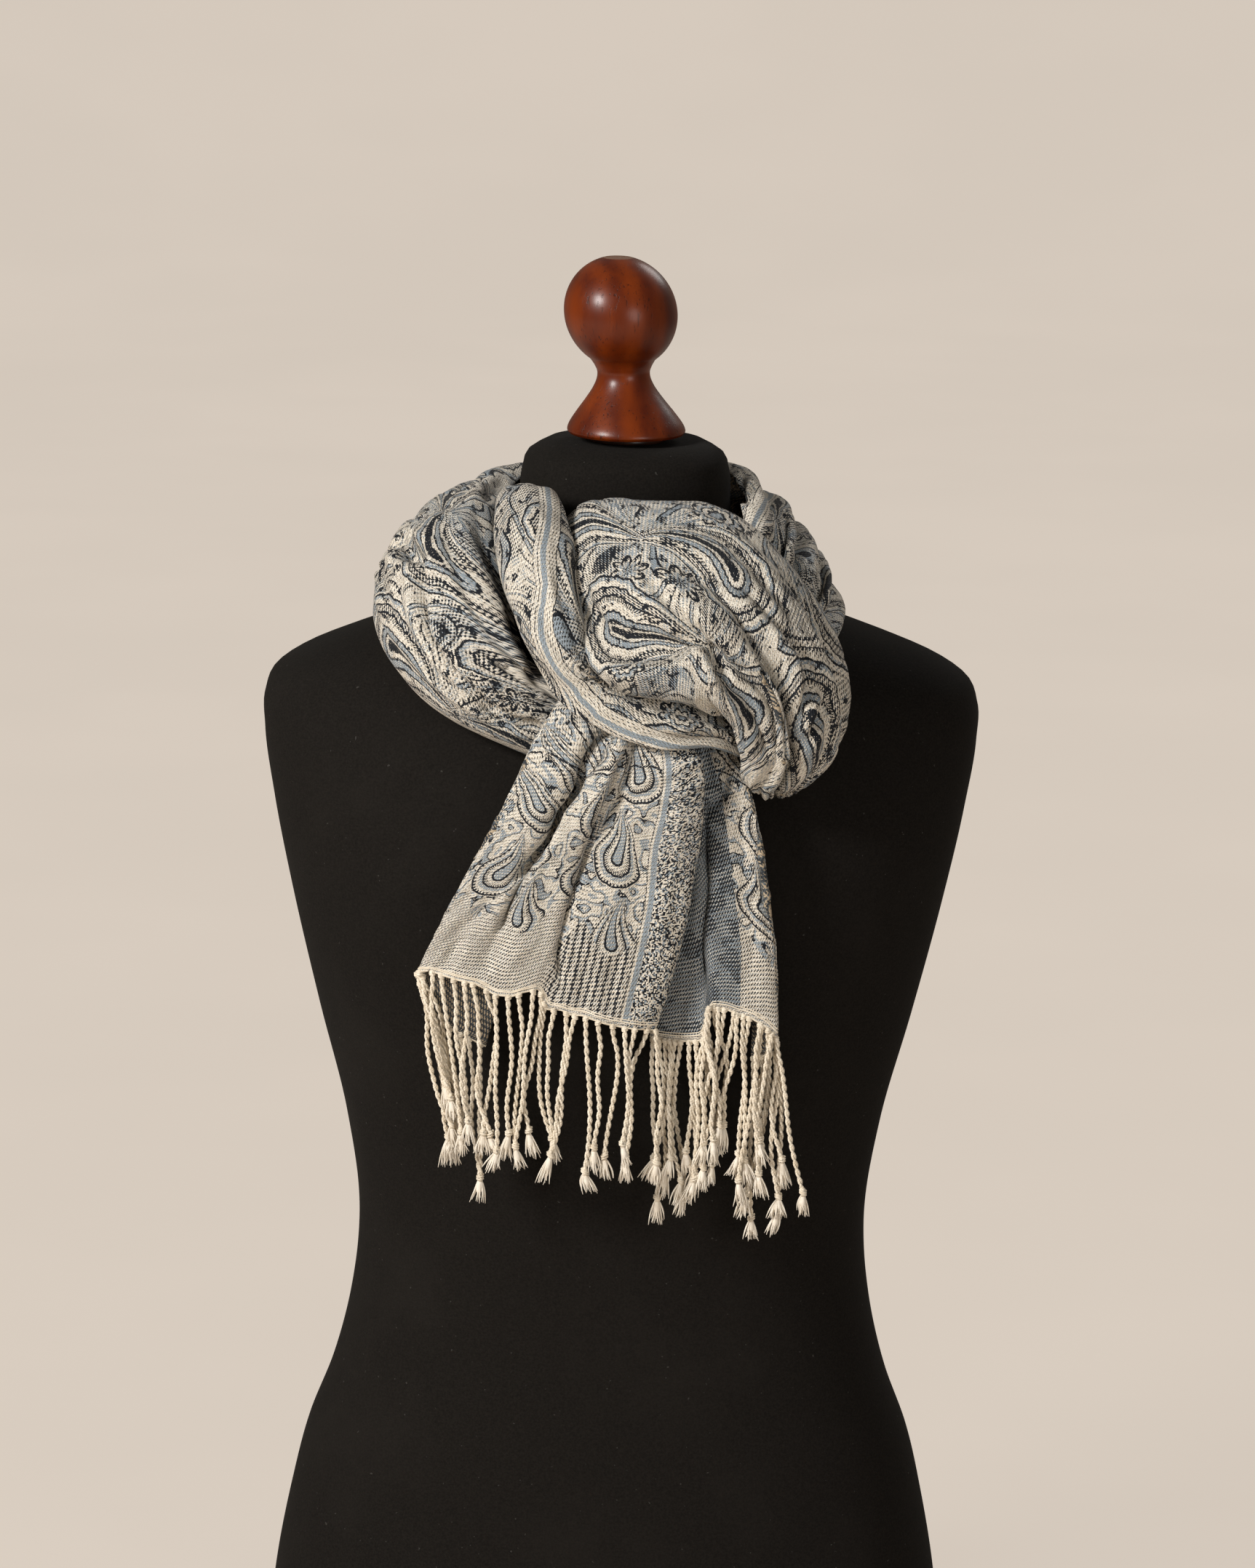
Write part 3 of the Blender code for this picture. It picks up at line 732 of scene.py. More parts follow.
def jacquard_masks(tree):
    """Shares of dark and blue threads at each place of the cloth, from its two UV maps."""
    y, x = [part * TO_MM for part in uv_place(tree, "UVMap")]
    aside, above = [part * TO_MM for part in uv_place(tree, "Border")]
    sx = (x / 0.45).floor() * 0.45
    sy = (y / 0.55).floor() * 0.55
    wobble = cloud(vector(sx / 44, sy / 44), 1.5)
    wx = sx + (wobble[0] - 0.5) * 11
    wy = sy + (wobble[1] - 0.5) * 11

    inside, dark, blue, far = boteh(
        wx, wy, BOTEH_BANDS, wide=62, high=92, radius=37, tip=54, bend=0.0088,
        reach=0.82, petals=9.0, teeth=80.0, turned=1,
    )

    # Lines that flow round the teardrops.
    drift = cloud(vector(wx / 50 + 7, wy / 50), 0.5)
    flow = (drift[0] * 3.4 + far.least(110.0) / 46).fract()
    flow_dark, flow_blue, flow_extra = bands(flow, FLOW_BANDS)
    flow_dark = flow_dark + flow_extra * (((wx + wy) * 2.3).sin() > 0.0) * 0.75
    flow_blue = flow_blue + (drift[1] > 0.55) * 0.35
    flow_dark = flow_dark + (drift[2] > 0.56) * 0.26
    speckle = cloud(vector(wx / 4.5, wy / 6.5 + 3), 2.0)
    speckled_in = (speckle[0] > 0.61) * 0.60
    tinted_in = (speckle[1] > 0.60) * 0.30

    # Roses in the gaps.
    cells = tree.nodes.new("ShaderNodeTexVoronoi")
    set_inputs(cells, Vector=vector(wx / ROSE_CELL, wy / ROSE_CELL), Scale=1.0, Randomness=0.75)
    rose_x, rose_y, _ = split(cells.outputs["Position"])
    luck = split(cells.outputs["Color"])
    turn = (wx / ROSE_CELL - rose_x).of("ARCTAN2", wy / ROSE_CELL - rose_y)
    petal = abs((turn * 4).sin())
    rim = Num(cells.outputs["Distance"]) * (1.2 - petal * 0.28) * (0.8 + luck[0] * 0.6)
    rose_dark, rose_blue, rose_extra = bands(rim, ROSE_BANDS)
    rose_dark = rose_dark + rose_extra * ((turn * 16).sin() > 0.0) * 0.8
    rose = (rim < ROSE_REACH) * (luck[1] > ROSE_CHANCE)
    flow_dark = pick(rose, rose_dark, flow_dark)
    flow_blue = pick(rose, rose_blue, flow_blue)
    dark = pick(inside, dark, flow_dark) + speckled_in
    blue = pick(inside, blue, flow_blue) + tinted_in

    # The shawl's ends carry small teardrops, then a plain dotted field with ribs, then the hem.
    near_end = above < 400.0
    wander = wobble[2] * 9
    end_y = above + (wobble[0] - 0.5) * 8
    end_x = aside + (wobble[1] - 0.5) * 8
    small, small_dark, small_blue, _ = boteh(
        end_x, end_y, SMALL_BANDS, wide=33, high=43, radius=14.0, tip=25, bend=0.021,
        reach=0.98, petals=6.0, teeth=40.0, turned=0,
    )
    in_end = near_end * (above + wander < 178.0)
    scroll = cloud(vector(end_x / 13, end_y / 13 + 4), 1.5)
    curl = (scroll[0] * 6).fract()
    dark = pick(in_end, (curl < 0.12) * 0.85 + (scroll[2] > 0.58) * 0.40, dark)
    blue = pick(in_end, (curl > 0.72) * 0.65 + 0.12, blue)
    bordered = in_end * (abs(end_y - 132) < 0.55)
    shown = in_end * small
    dark = pick(shown, small_dark, dark)
    blue = pick(shown, small_blue, blue)
    dark = pick(bordered, 0.9, dark)
    field = in_end * (above + abs((end_x / 31 * math.pi).sin()) * 16 < 50.0)
    rib = (aside * (2 * math.pi / 3.9)).sin() > 0.35
    ribbed = (aside > -46.0) * (aside < 0.0)
    dark = pick(field, 0.36 + rib * ribbed * 0.36, dark)
    blue = pick(field, 0.18, blue)

    # The under layer's satin stretch, and the dark speckled selvedge beyond the border stripe.
    satin = near_end * (y > REAR_TAIL) * (aside < 0.0)
    dark = pick(satin, 0.42 + (scroll[1] > 0.52) * 0.16, dark)
    blue = pick(satin, 0.72, blue)
    speckled = near_end * (aside > 1.5) * (y < REAR_TAIL)
    stripe = (aside + (wobble[2] - 0.5) * 1.2) / 32 + 0.5
    border_dark, border_blue, border = bands(stripe, BORDER_BANDS)
    border = border * (abs(aside) < 15.0) * (y < REAR_TAIL)
    border = border * (1 - near_end * ((stripe > 0.55) + (stripe < 0.40)).least(1.0))
    dark = pick(border, border_dark, dark)
    blue = pick(border, border_blue, blue)
    dark = dark.most(0.15 + in_end * 0.05)
    hem = above < 2.8
    lines = ((above / 0.9) * 2 * math.pi).sin() > 0.35
    dark = pick(hem, lines * 0.55, dark)
    blue = pick(hem, 0.25, blue)
    return x, y, dark, blue, speckled


def jacquard(name, reverse):
    """Woven cloth. Its wrong side has the light and dark threads the other way about."""
    material, tree, shader = new_material(name)
    x, y, dark, blue, speckled = jacquard_masks(tree)
    cell = chance_at(vector((x / 0.65).floor(), (y / 0.65).floor()))
    slant = ((x + y * 0.55) * (2 * math.pi / 1.35)).sin()
    dash = ((y - x * 0.3) * (2 * math.pi / 2.3) + (x * 0.8).floor() * 1.9).sin()
    gate = 0.5 + slant * 0.27 + dash * 0.23 + (cell[0] - 0.5) * 0.12
    cross = ((x - y * 0.35) * (2 * math.pi / 1.1) + 1.0).sin()
    rung = ((y + x * 0.2) * (2 * math.pi / 2.0) + 2.0).sin()
    blue_gate = 0.5 + cross * 0.25 + rung * 0.25 + (cell[1] - 0.5) * 0.16
    is_dark = pick(speckled, cell[0] < 0.42, (dark - gate).smooth(-0.03, 0.03))
    is_blue = pick(speckled, cell[1] < 0.30, (blue - blue_gate).smooth(-0.03, 0.03))
    deep = (dark + speckled).smooth(0.17, 0.40)
    ground = blend(cell[2].smooth(0.2, 0.9), CREAM, PALE)
    ground = blend((cell[1] < 0.16) * 0.6, ground, TAN)
    if reverse:
        colour = blend(is_blue, (0.035, 0.040, 0.045), (0.10, 0.12, 0.13))
        colour = blend(is_dark, colour, TAN)
    else:
        colour = blend(is_blue, ground, BLUE)
        colour = blend(is_dark, colour, blend(deep, FAINT, NAVY))
    rough = 0.62 + is_dark * 0.16 - is_blue * 0.10
    set_inputs(shader, Base_Color=colour, Roughness=rough, Specular_IOR_Level=0.22)
    set_inputs(shader, Sheen_Weight=0.05, Sheen_Roughness=0.4)
    relief = slant * 0.55 + rung * 0.40 + dash * 0.25
    add_bump(shader, relief, 0.00022, 0.6)
    return material


def add_bump(shader, height, distance, strength):
    bump = shader.id_data.nodes.new("ShaderNodeBump")
    set_inputs(bump, Height=height, Distance=distance, Strength=strength)
    put(shader.inputs["Normal"], bump.outputs["Normal"])


def object_place(tree):
    """Place on the object, in metres."""
    return tree.nodes.new("ShaderNodeTexCoord").outputs["Object"]


def yarn_material(name, dark, light):
    """Twisted yarn, its UV running along the strand and round it."""
    material, tree, shader = new_material(name)
    along, around = uv_place(tree, "UVMap")
    fibre = ((along * 2600 + around * 6.28) * 2.0).sin()
    patch = cloud(object_place(tree), 2.0, 0.6, 180.0)
    tone = (patch[0] * 0.7 + fibre * 0.12 + 0.1).smooth(0.15, 0.75)
    set_inputs(shader, Base_Color=blend(tone, dark, light), Roughness=0.75 + patch[1] * 0.15)
    set_inputs(shader, Sheen_Weight=0.2, Specular_IOR_Level=0.25)
    add_bump(shader, fibre * 0.6 + patch[2], 0.00015, 0.5)
    return material


def jersey_material():
    """Matte black stretch jersey with faint ribs and a little lint."""
    material, tree, shader = new_material("black_jersey")
    place = object_place(tree)
    x, y, z = split(place)
    broad = cloud(place, 3.0, 0.6, 14.0)
    fine = cloud(place, 3.0, 0.7, 900.0)
    stretched = cloud(vector(x * 260, y * 260, z * 1100), 2.0, 0.6)
    lint = cloud(place, 1.0, 0.5, 420.0)
    speck = lint[0].smooth(0.76, 0.80) * 0.35
    shade = fine[0].smooth(0.3, 0.7)
    shade = blend(shade, (0.0070, 0.0062, 0.0052), (0.0128, 0.0112, 0.0094))
    shade = blend(broad[0].smooth(0.45, 0.75) * 0.35, shade, (0.0165, 0.0145, 0.0122))
    shade = blend(speck, shade, (0.09, 0.085, 0.078))
    set_inputs(shader, Base_Color=shade, Roughness=0.88 + fine[1] * 0.1, Specular_IOR_Level=0.06)
    set_inputs(shader, Sheen_Weight=0.012, Sheen_Roughness=0.5)
    add_bump(shader, stretched[0] * 0.7 + fine[2] * 0.5, 0.0003, 0.55)
    return material


def wood_material(name, dark, light, rough):
    """Turned hardwood with short dark pores along its grain, lacquered."""
    material, tree, shader = new_material(name)
    x, y, z = split(object_place(tree))
    bend = cloud(vector(x * 9, y * 9, z * 5), 2.0)
    figure = cloud(vector(x * 60 + bend[0] * 1.5, y * 60, z * 7), 3.0, 0.6)
    pores = cloud(vector(x * 900, y * 900, z * 75), 2.0, 0.6)
    rings = ((x * 420 + bend[1] * 9) + (y * 160)).sin() * 0.5 + 0.5
    tone = (figure[0] * 0.75 + rings * 0.18).smooth(0.22, 0.78)
    colour = blend(tone, dark, light)
    streak = pores[0].smooth(0.60, 0.68) * figure[1].smooth(0.35, 0.65)
    colour = blend(streak * 0.75, colour, tuple(part * 0.22 for part in dark))
    rough = rough + pores[1] * 0.12
    set_inputs(shader, Base_Color=colour, Roughness=rough, Specular_IOR_Level=0.20)
    set_inputs(shader, Coat_Weight=0.24, Coat_Roughness=0.24)
    add_bump(shader, streak * -1, 0.00025, 0.35)
    return material


def end_grain_material():
    """The knob's flat top, where the lathe left end grain."""
    material, tree, shader = new_material("end_grain")
    x, y, _ = split(object_place(tree))
    rings = (((x + 0.012) * (x + 0.012) + y * y).root() * 5200).sin() * 0.5 + 0.5
    grain = cloud(vector(x * 1500, y * 1500), 3.0, 0.6)
    tone = (grain[0] * 0.7 + rings * 0.3).smooth(0.2, 0.8)
    colour = blend(tone, (0.14, 0.052, 0.024), (0.26, 0.115, 0.06))
    set_inputs(shader, Base_Color=colour, Roughness=0.30 + grain[1] * 0.15)
    set_inputs(shader, Coat_Weight=0.4, Coat_Roughness=0.2)
    add_bump(shader, grain[2], 0.0002, 0.3)
    return material


def wall_material():
    """Plain plaster wall and floor in warm beige."""
    material, tree, shader = new_material("backdrop")
    patch = cloud(object_place(tree), 3.0, 0.6, 1.6)
    grit = cloud(object_place(tree), 3.0, 0.6, 60.0)
    tone = patch[0].smooth(0.35, 0.7)
    colour = blend(tone, (0.655, 0.578, 0.500), (0.672, 0.592, 0.512))
    seen = Num(tree.nodes.new("ShaderNodeLightPath").outputs["Is Camera Ray"])
    # The camera sees an evenly lit wall, and the lamps add only a soft shade to it.
    lit = blend(seen * 0.90, colour, (0.0, 0.0, 0.0))
    set_inputs(shader, Base_Color=lit, Roughness=0.9, Specular_IOR_Level=0.0)
    set_inputs(shader, Emission_Color=colour, Emission_Strength=seen * 0.97)
    add_bump(shader, grit[0] + patch[1], 0.003, 0.12)
    return material


JACQUARD = jacquard("jacquard_right_side", False)
JACQUARD_BACK = jacquard("jacquard_wrong_side", True)
YARN = yarn_material("fringe_yarn", (0.60, 0.505, 0.370), (0.86, 0.785, 0.655))
TUFT_YARN = yarn_material("tassel_yarn", (0.66, 0.575, 0.455), (0.90, 0.845, 0.745))
JERSEY = jersey_material()
WOOD = wood_material("turned_wood", (0.062, 0.0065, 0.0004), (0.172, 0.027, 0.0014), 0.32)
DARK_WOOD = wood_material("dark_wood", (0.012, 0.0045, 0.0025), (0.040, 0.013, 0.006), 0.32)
END_GRAIN = end_grain_material()
WALL = wall_material()


# ---- the cloth
FAR_OFF = 1000.0  # stands for a stretch with no hem or no border in it
CREASE_SPACE = 0.8  # least space between the form and the thin cloth's inner face
ROWS_EVENED, COLUMNS_EVENED = 16, 9
# Fine wrinkles: length along and across, 1 where they wander across, and height.
RIPPLES = table("48 14 1 1.25, 24 6.5 1 .42, 16 18 0 .55")
# A crease is its depth, width and lean, then its points' shares along the stretch and places
# across it, in turn.
STRAND_CREASES = table("""
10 3.2 3.4 .692 .35 .712 .19 .729 .05 .742 .02 .759 0 .776 -.05 .803 -.26 .826 -.02, 2.2 2.4 .5 .716 -.15
.736 -.31 .756 -.3 .776 -.3 .809 -.36, 4.5 2.4 -1.2 .763 .54 .779 .58 .796 .6 .819 .65, -2 2.6 0 .766 .83
.789 .86 .816 .88, 12 4.2 0 .645 .07 .666 .2 .676 .32 .682 .42, 2.8 1.7 0 .656 .14 .645 .25 .635 .37, 2.6
2 0 .659 .14 .666 .03 .676 -.1, 2.4 1.8 0 .672 .34 .672 .52 .666 .61, 3 2.2 0 .676 .35 .689 .39 .699 .31,
3 4 0 .635 .97 .662 .98 .686 .99 .706 1 .732 1.04 .759 1.02, 9 4.8 0 .759 1.02 .779 1 .803 1 .819 .91, 3.2
2.6 0 .548 .99 .589 .99 .625 .99, 1.5 5 0 .709 .5 .742 .58 .763 .62, 2 3 0 .689 .01 .702 -.14 .719 -.29
.746 -.31, 1.6 3.6 0 .652 .88 .629 .63 .635 .48, 1.2 1.6 0 .809 -.42 .786 -.34 .763 -.32 .742 -.33, 6.5 3
0 .201 .96 .177 1.08 .147 1.11, 7 3 0 .167 .91 .144 .98 .298 .08, 9.5 4 0 .167 .4 .134 .41 .104 .48 .08
.66, 9.5 4 0 .184 -.38 .147 -.38 .11 -.34 .087 -.32, 3.2 3 0 .174 .03 .097 .36 .094 .07, 2 1.8 0 .197 .5
.107 .89 .08 .97, 2.4 2.6 0 .13 -.45 .1 -.47 .08 -.79, 5 3.4 0 .24 -.4 .262 -.1 .27 .3 .262 .7, 4.6 3.2 .8
.3 .6 .33 .25 .38 .1 .44 .15, 5 3.4 -.8 .32 -.7 .37 -.5 .43 -.45 .5 -.55, 4.2 2.8 .6 .4 .75 .44 .6 .5 .55
.56 .65, 4.8 3 0 .46 .1 .52 -.05 .57 .05 .61 .1, 4 3.2 0 .56 -.45 .6 -.35 .64 -.4, 3 2.6 0 .54 .85 .59 .78
.64 .85, 3.6 2.6 0 .345 .95 .35 .5 .34 .2, 3.4 2.6 0 .415 -.95 .425 -.6 .415 -.3, 3.6 2.6 0 .475 .95 .47
.6 .485 .25, 3.4 2.8 0 .53 -.95 .54 -.6 .53 -.25, 3 2.6 0 .575 .95 .58 .6 .57 .3, 4 3 0 .6 -.9 .625 -.6
.64 -.2 .645 .1, 4.2 3 0 .22 -.95 .225 -.6 .235 -.2
""")
BIGHT_CREASES = table("""
2 1.8 .2 .709 -.99 .753 -.96 .819 -.98 .916 -.9, 4 2.2 .8 .736 -1 .793 -.99 .843 -.94 .903 -.9 .963 -.88,
1.6 4 0 .227 -.56 .308 -.49 .391 -.35 .455 -.33, 1.2 3 0 .201 .14 .288 .01 .368 -.02 .438 -.09 .518 -.58,
-.8 3 0 .231 .75 .311 .72 .401 .73 .462 .62
""")
COWL_CREASES = table("""
6 4.5 0 .13 -.1 .134 -.44 .154 -.75 .201 -.78 .254 -.76 .314 -.73 .348 -.54, -3 4.6 0 .147 -.92 .207 -.9
.268 -.89 .328 -.86 .371 -.74, -1.5 5 0 .217 -.42 .274 -.47 .328 -.51, -1.6 4.6 0 .154 .05 .211 .06 .271
-.11, 7 3.2 -1 .264 -.07 .301 -.3 .344 -.47 .395 -.57 .455 -.83 .532 -.9 .602 -.92 .642 -.91, -4.5 5 0
.284 -.34 .348 -.54 .398 -.79 .482 -.93 .585 -.98 .659 -.98, 4 2.4 0 .378 -.86 .421 -.96 .522 -1.14 .622
-1.11 .699 -1, 3.4 5 0 .278 .3 .321 .15 .368 .09 .408 .16, -2.6 8 0 .341 -.27 .388 -.22 .438 -.13, 6.5 3.4
1 .405 .1 .448 .04 .492 .05 .528 .01 .562 -.13 .585 -.33 .602 -.44, 2.6 3.2 .6 .452 -.14 .492 -.3 .545 -.4
.589 -.43, 1.8 2.2 0 .482 -.45 .508 -.63 .572 -.7 .605 -.66, 5.5 3 1 .595 .13 .619 -.19 .639 -.42, -1.6 3
0 .538 -.32 .565 -.34 .595 -.46, 1.2 3.2 0 .411 .58 .475 .39 .532 .22 .579 .09, 1.8 3.6 0 .328 .6 .385 .46
.445 .33 .508 .22, 1.6 2.4 0 .615 -.92 .669 -.92, 1.4 4 0 .12 .42 .191 .38 .258 .33
""")
TAIL_FRONT_CREASES = table("""
14 3.4 -5.5 .117 -.03 .184 -.29 .258 -.36 .344 -.37 .408 -.45 .482 -.43 .528 -.48 .582 -.52 .659 -.52 .769
-.5, 4.5 6 0 .712 -.5 .863 -.49 .967 -.46, 9 2.4 -5 .161 .17 .237 .07 .304 .01 .371 -.03 .441 -.04 .508
-.03 .579 -.02 .656 -.02 .739 0 .839 .04 .896 .11, -3.4 6.5 0 .167 -.47 .261 -.55 .378 -.66 .472 -.67 .575
-.69, -1.6 3 0 .194 .02 .281 -.06 .378 -.14 .468 -.19 .575 -.19, 1.2 5 0 .164 -.64 .298 -.81 .438 -.83
.579 -.86, 1.5 6 0 .217 .46 .395 .52 .575 .51 .746 .53 .89 .51, -1.2 5 0 .207 .7 .368 .76 .582 .81 .783
.82 .943 .87, 1.5 3 0 .816 -.8 .957 -.76, 1.2 3 0 .853 .27 .98 .38, 1.4 3 0 .863 .51 .973 .59
""")
TAIL_REAR_CREASES = table("""
4.5 2.4 -1.6 .221 .71 .321 .45 .375 .14 .462 .02 .542 -.03, 2.4 4.2 0 .271 .77 .431 .69 .605 .63 .779 .59
.926 .6, -1.8 4 0 .505 .2 .686 .02 .95 .04, 6 2.4 3.4 .438 .01 .592 0 .719 -.14 .89 -.12, 1.6 2.6 0 .458
.94 .629 .94 .833 .88
""")

# A border stripe's shares along the stretch and places across it.
STRAND_BORDER = table("""
0 1.05, .084 .95, .14 .72, .197 .5, .28 .3, .4 -.1, .55 -.6, .65 -1, .8 -.95, 1 -.9
""")
BIGHT_BORDER = table("""
0 .75, .191 .59, .321 .16, .398 .07, .492 -.46, .582 -.8, .652 -.97, 1 -1.2
""")
FRONT_BORDER = table("0 .6, .201 .62, .452 .6, .652 .67, .983 .73, 1 .73")
REAR_BORDER = table("0 .42, 1 .42")


def cloth_face(stations, folds, along, per_roll, creases, seed, hem, calm):
    """Outer face of a stretch: the solids' shape with creases and fine wrinkles, clear of the form."""
    grid, places = cloth_grid(stations, folds, along, per_roll, hem)
    grid = relaxed(grid, 3)
    inner = off_form(grid - CLOTH * grid_normals(grid), REST)
    outer = inner + CLOTH * grid_normals(inner)
    share = along / (len(stations) - 1)
    outer = creased(outer, share, places, creases)
    run, reach = arcs(outer, 0), arcs(outer, 1)
    wander = ripple(run / 42, reach / 30, seed + 5) * 9
    fine = 0.0
    for number, (long, wide, wandering, height) in enumerate(RIPPLES):
        fine = fine + ripple(run / long, (reach + wander * wandering) / wide, seed + number) * height
    outer = outer + (fine * calm)[..., None] * grid_normals(outer)
    outer = off_form(outer, SHELL + CREASE_SPACE)
    return relaxed(outer, 1), places


def evened(values, span):
    """Running mean down the rows, so that wrinkles don't pull the woven pattern about."""
    rows = np.arange(len(values))
    reach = np.minimum(span, np.minimum(rows, len(values) - 1 - rows))
    total = np.concatenate([np.zeros((1, values.shape[1])), np.cumsum(values, axis=0)])
    return (total[rows + reach + 1] - total[rows - reach]) / (2 * reach + 1)[:, None]


def cloth_uvs(outer, places, start, border, hem):
    """UV maps: place on the flat cloth, and distances from the border stripe and the hem."""
    run, reach = arcs(outer, 0), evened(arcs(outer, 1), ROWS_EVENED)
    middle = outer.shape[1] // 2
    along = evened(((run + run.mean(axis=1, keepdims=True)) / 2).T, COLUMNS_EVENED).T
    across = reach - reach[:, middle : middle + 1]
    flat = np.stack([along + start[0], across + start[1]], axis=-1) * MM
    aside = np.full(outer.shape[:2], -FAR_OFF)
    if border:
        share = np.linspace(0, 1, len(outer))
        line = np.interp(share, *np.array(border, float).T)
        at_line = [np.interp(place, *row) for place, *row in zip(line, places, reach)]
        aside = reach - np.array(at_line)[:, None]
    above = np.full(outer.shape[:2], FAR_OFF)
    if hem:
        above = run[-1:] - run
    return {"UVMap": flat, "Border": np.stack([aside, above], axis=-1) * MM}


def cloth_piece(
    name, stations, folds, per_roll, step, creases, seed, start, calm, border=None, hem=None
):
    """A stretch of the shawl and its outer face. Start is where it lies on the flat cloth."""
    along = even_along(stations, step)
    outer, places = cloth_face(stations, folds, along, per_roll, creases, seed, hem, calm)
    uvs = cloth_uvs(outer, places, start, border, hem)
    return shell("shawl_" + name, outer, SHELL, [JACQUARD, JACQUARD_BACK], uvs), outer


strand, _ = cloth_piece(
    "strand", STRAND_STATIONS, STRAND_FOLDS, 19, 1.75, STRAND_CREASES, 11, (0, 0), 0.5, STRAND_BORDER
)
bight, _ = cloth_piece(
    "bight", BIGHT_STATIONS, BIGHT_FOLDS, 24, 1.15, BIGHT_CREASES, 31, (880, 260), 1.0, BIGHT_BORDER
)
cowl, _ = cloth_piece(
    "cowl", COWL_STATIONS, COWL_FOLDS, 27, 1.05, COWL_CREASES, 51, (1270, 90), 0.65
)
tail_front, front_face = cloth_piece(
    "tail_front", TAIL_FRONT_STATIONS, TAIL_FRONT_FOLDS, 54, 1.1, TAIL_FRONT_CREASES, 71,
    (1500, 40), 0.7, FRONT_BORDER, TAIL_FRONT_HEM,
)
tail_rear, rear_face = cloth_piece(
    "tail_rear", TAIL_REAR_STATIONS, TAIL_REAR_FOLDS, 44, 1.4, TAIL_REAR_CREASES, 91,
    (1800, 210), 0.7, REAR_BORDER, TAIL_REAR_HEM,
)


# ---- hems and fringes
STRANDS = 34
PLY_RADIUS = 0.66
PLY_OFFSET = 0.66
PLY_PITCH = 9.0
TASSEL_FILAMENTS = 18
CORD, TUFT = 0, 1


def hem_cords(name, face):
    """Fine cords along a tail's lower edge, where the weft ends are drawn together."""
    cords = Bundle()
    normals = grid_normals(face)
    for row, radius, sunk in ((-1, 0.62, 0.5), (-3, 0.42, 0.15), (-4, 0.30, 0.10)):
        cords.add(tube(face[row] - normals[row] * SHELL * sunk, radius, 6))
    return cords.mesh(name, [YARN])


def points_at(steps, lengths, line):
    return np.stack([np.interp(steps, lengths, line[:, axis]) for axis in range(3)], axis=1)


def uneven_line(line, count, chance):
    """Points along a line at uneven steps."""
    lengths = run_of(line)
    steps = (np.arange(count) + 0.5) / count * lengths[-1]
    steps = np.clip(steps + chance.uniform(-1.5, 1.5, count), 1.2, lengths[-1] - 1.2)
    return points_at(steps, lengths, line)


def strand_path(root, tip, depth, chance):
    """A hanging cord's line between its root and its knot, with slow waves and small kinks."""
    reach = root[2] - tip[2]
    share = np.linspace(0, 1, int(reach / 1.2))
    x = root[0] + (tip[0] - root[0]) * share**1.2
    y = root[1] + (tip[1] - root[1]) * share + depth * np.sin(math.pi * share) ** 0.5
    for size, turns in ((3.4, 1.0), (1.9, 2.1), (0.8, 3.7)):
        size, turn = size * chance.uniform(-1, 1), turns * chance.uniform(0.8, 1.25) * math.pi
        start = chance.uniform(-0.6, 0.6)
        drawn = np.sin(start + (np.sin(turn + start) - start) * share)
        wave = np.sin(turn * share + start) - drawn
        x = x + size * wave * np.minimum(share * 5, 1)
        y = y + 0.3 * size * np.sin(turn * share) * np.minimum(share * 5, 1)
    return np.stack([x, y, root[2] - reach * share], axis=1)


def add_twist(fringe, path):
    """Two plies wound round each other along the path."""
    length = run_of(path)
    fill = np.linspace(0, length[-1], int(length[-1] / 0.95))
    fine = points_at(fill, length, path)
    ahead = unit(np.gradient(fine, axis=0))
    side = unit(np.cross(ahead, (0.0, 1.0, 0.0)))
    up = np.cross(side, ahead)
    for ply in range(2):
        turn = fill / PLY_PITCH * 2 * math.pi + ply * math.pi
        centre = fine + PLY_OFFSET * (np.cos(turn)[:, None] * side + np.sin(turn)[:, None] * up)
        around = np.tile(np.arange(6) / 6, len(centre))
        uvs = np.stack([np.repeat(fill, 6) * MM, around], axis=1)
        fringe.add(tube(centre, PLY_RADIUS, 6), CORD, uvs)


def add_knot(fringe, at, radius, chance):
    """An overhand knot: a small coil of yarn drawn tight."""
    turn = np.linspace(0, 2.3 * 2 * math.pi, 26)
    lean = chance.uniform(-0.6, 0.6)
    ring = np.stack([np.cos(turn), np.sin(turn), np.zeros(len(turn))], axis=1) * radius
    ring[:, 2] = np.linspace(1.1, -1.1, len(turn)) * radius * 0.8 + ring[:, 0] * lean
    fringe.add(tube(at + ring, 0.62, 5), CORD)
    heart = np.array([(0, 0, 1.5), (0, 0, 0.8), (0, 0, -0.8), (0, 0, -1.5)]) * radius
    fringe.add(tube(at + heart, radius * 0.8, 7), CORD)


def add_tassel(fringe, at, length, spread, lean, chance):
    """Loose filaments that flare from the knot."""
    share = np.linspace(0, 1, 7)
    for number in range(TASSEL_FILAMENTS):
        angle = number * 2.4 + chance.uniform(-0.4, 0.4)
        far = spread * (0.10 + 0.90 * ((number + 0.5) / TASSEL_FILAMENTS) ** 0.7)
        long = length * chance.uniform(0.74, 1.06)
        bend = chance.uniform(-1.3, 1.3)
        out = far * (0.14 + 0.86 * share**0.85)
        x = at[0] + out * math.cos(angle) + bend * np.sin(share * math.pi) * 0.7 + lean * length * share
        y = at[1] + out * math.sin(angle) * 0.6
        z = at[2] - long * share * math.sqrt(1 - min(lean * lean, 0.6))
        radius = np.interp(share, [0, 0.6, 1], [0.46, 0.40, 0.14])
        fringe.add(tube(np.stack([x, y, z], axis=1), radius, 4), TUFT)
    part = np.linspace(0, 0.6, 5) * length
    core = np.stack([at[0] + lean * part, np.full(5, at[1]), at[2] - part], axis=1)
    fringe.add(tube(core, (0.9, 1.3, 1.6, 1.7, 0.8), 8), TUFT)


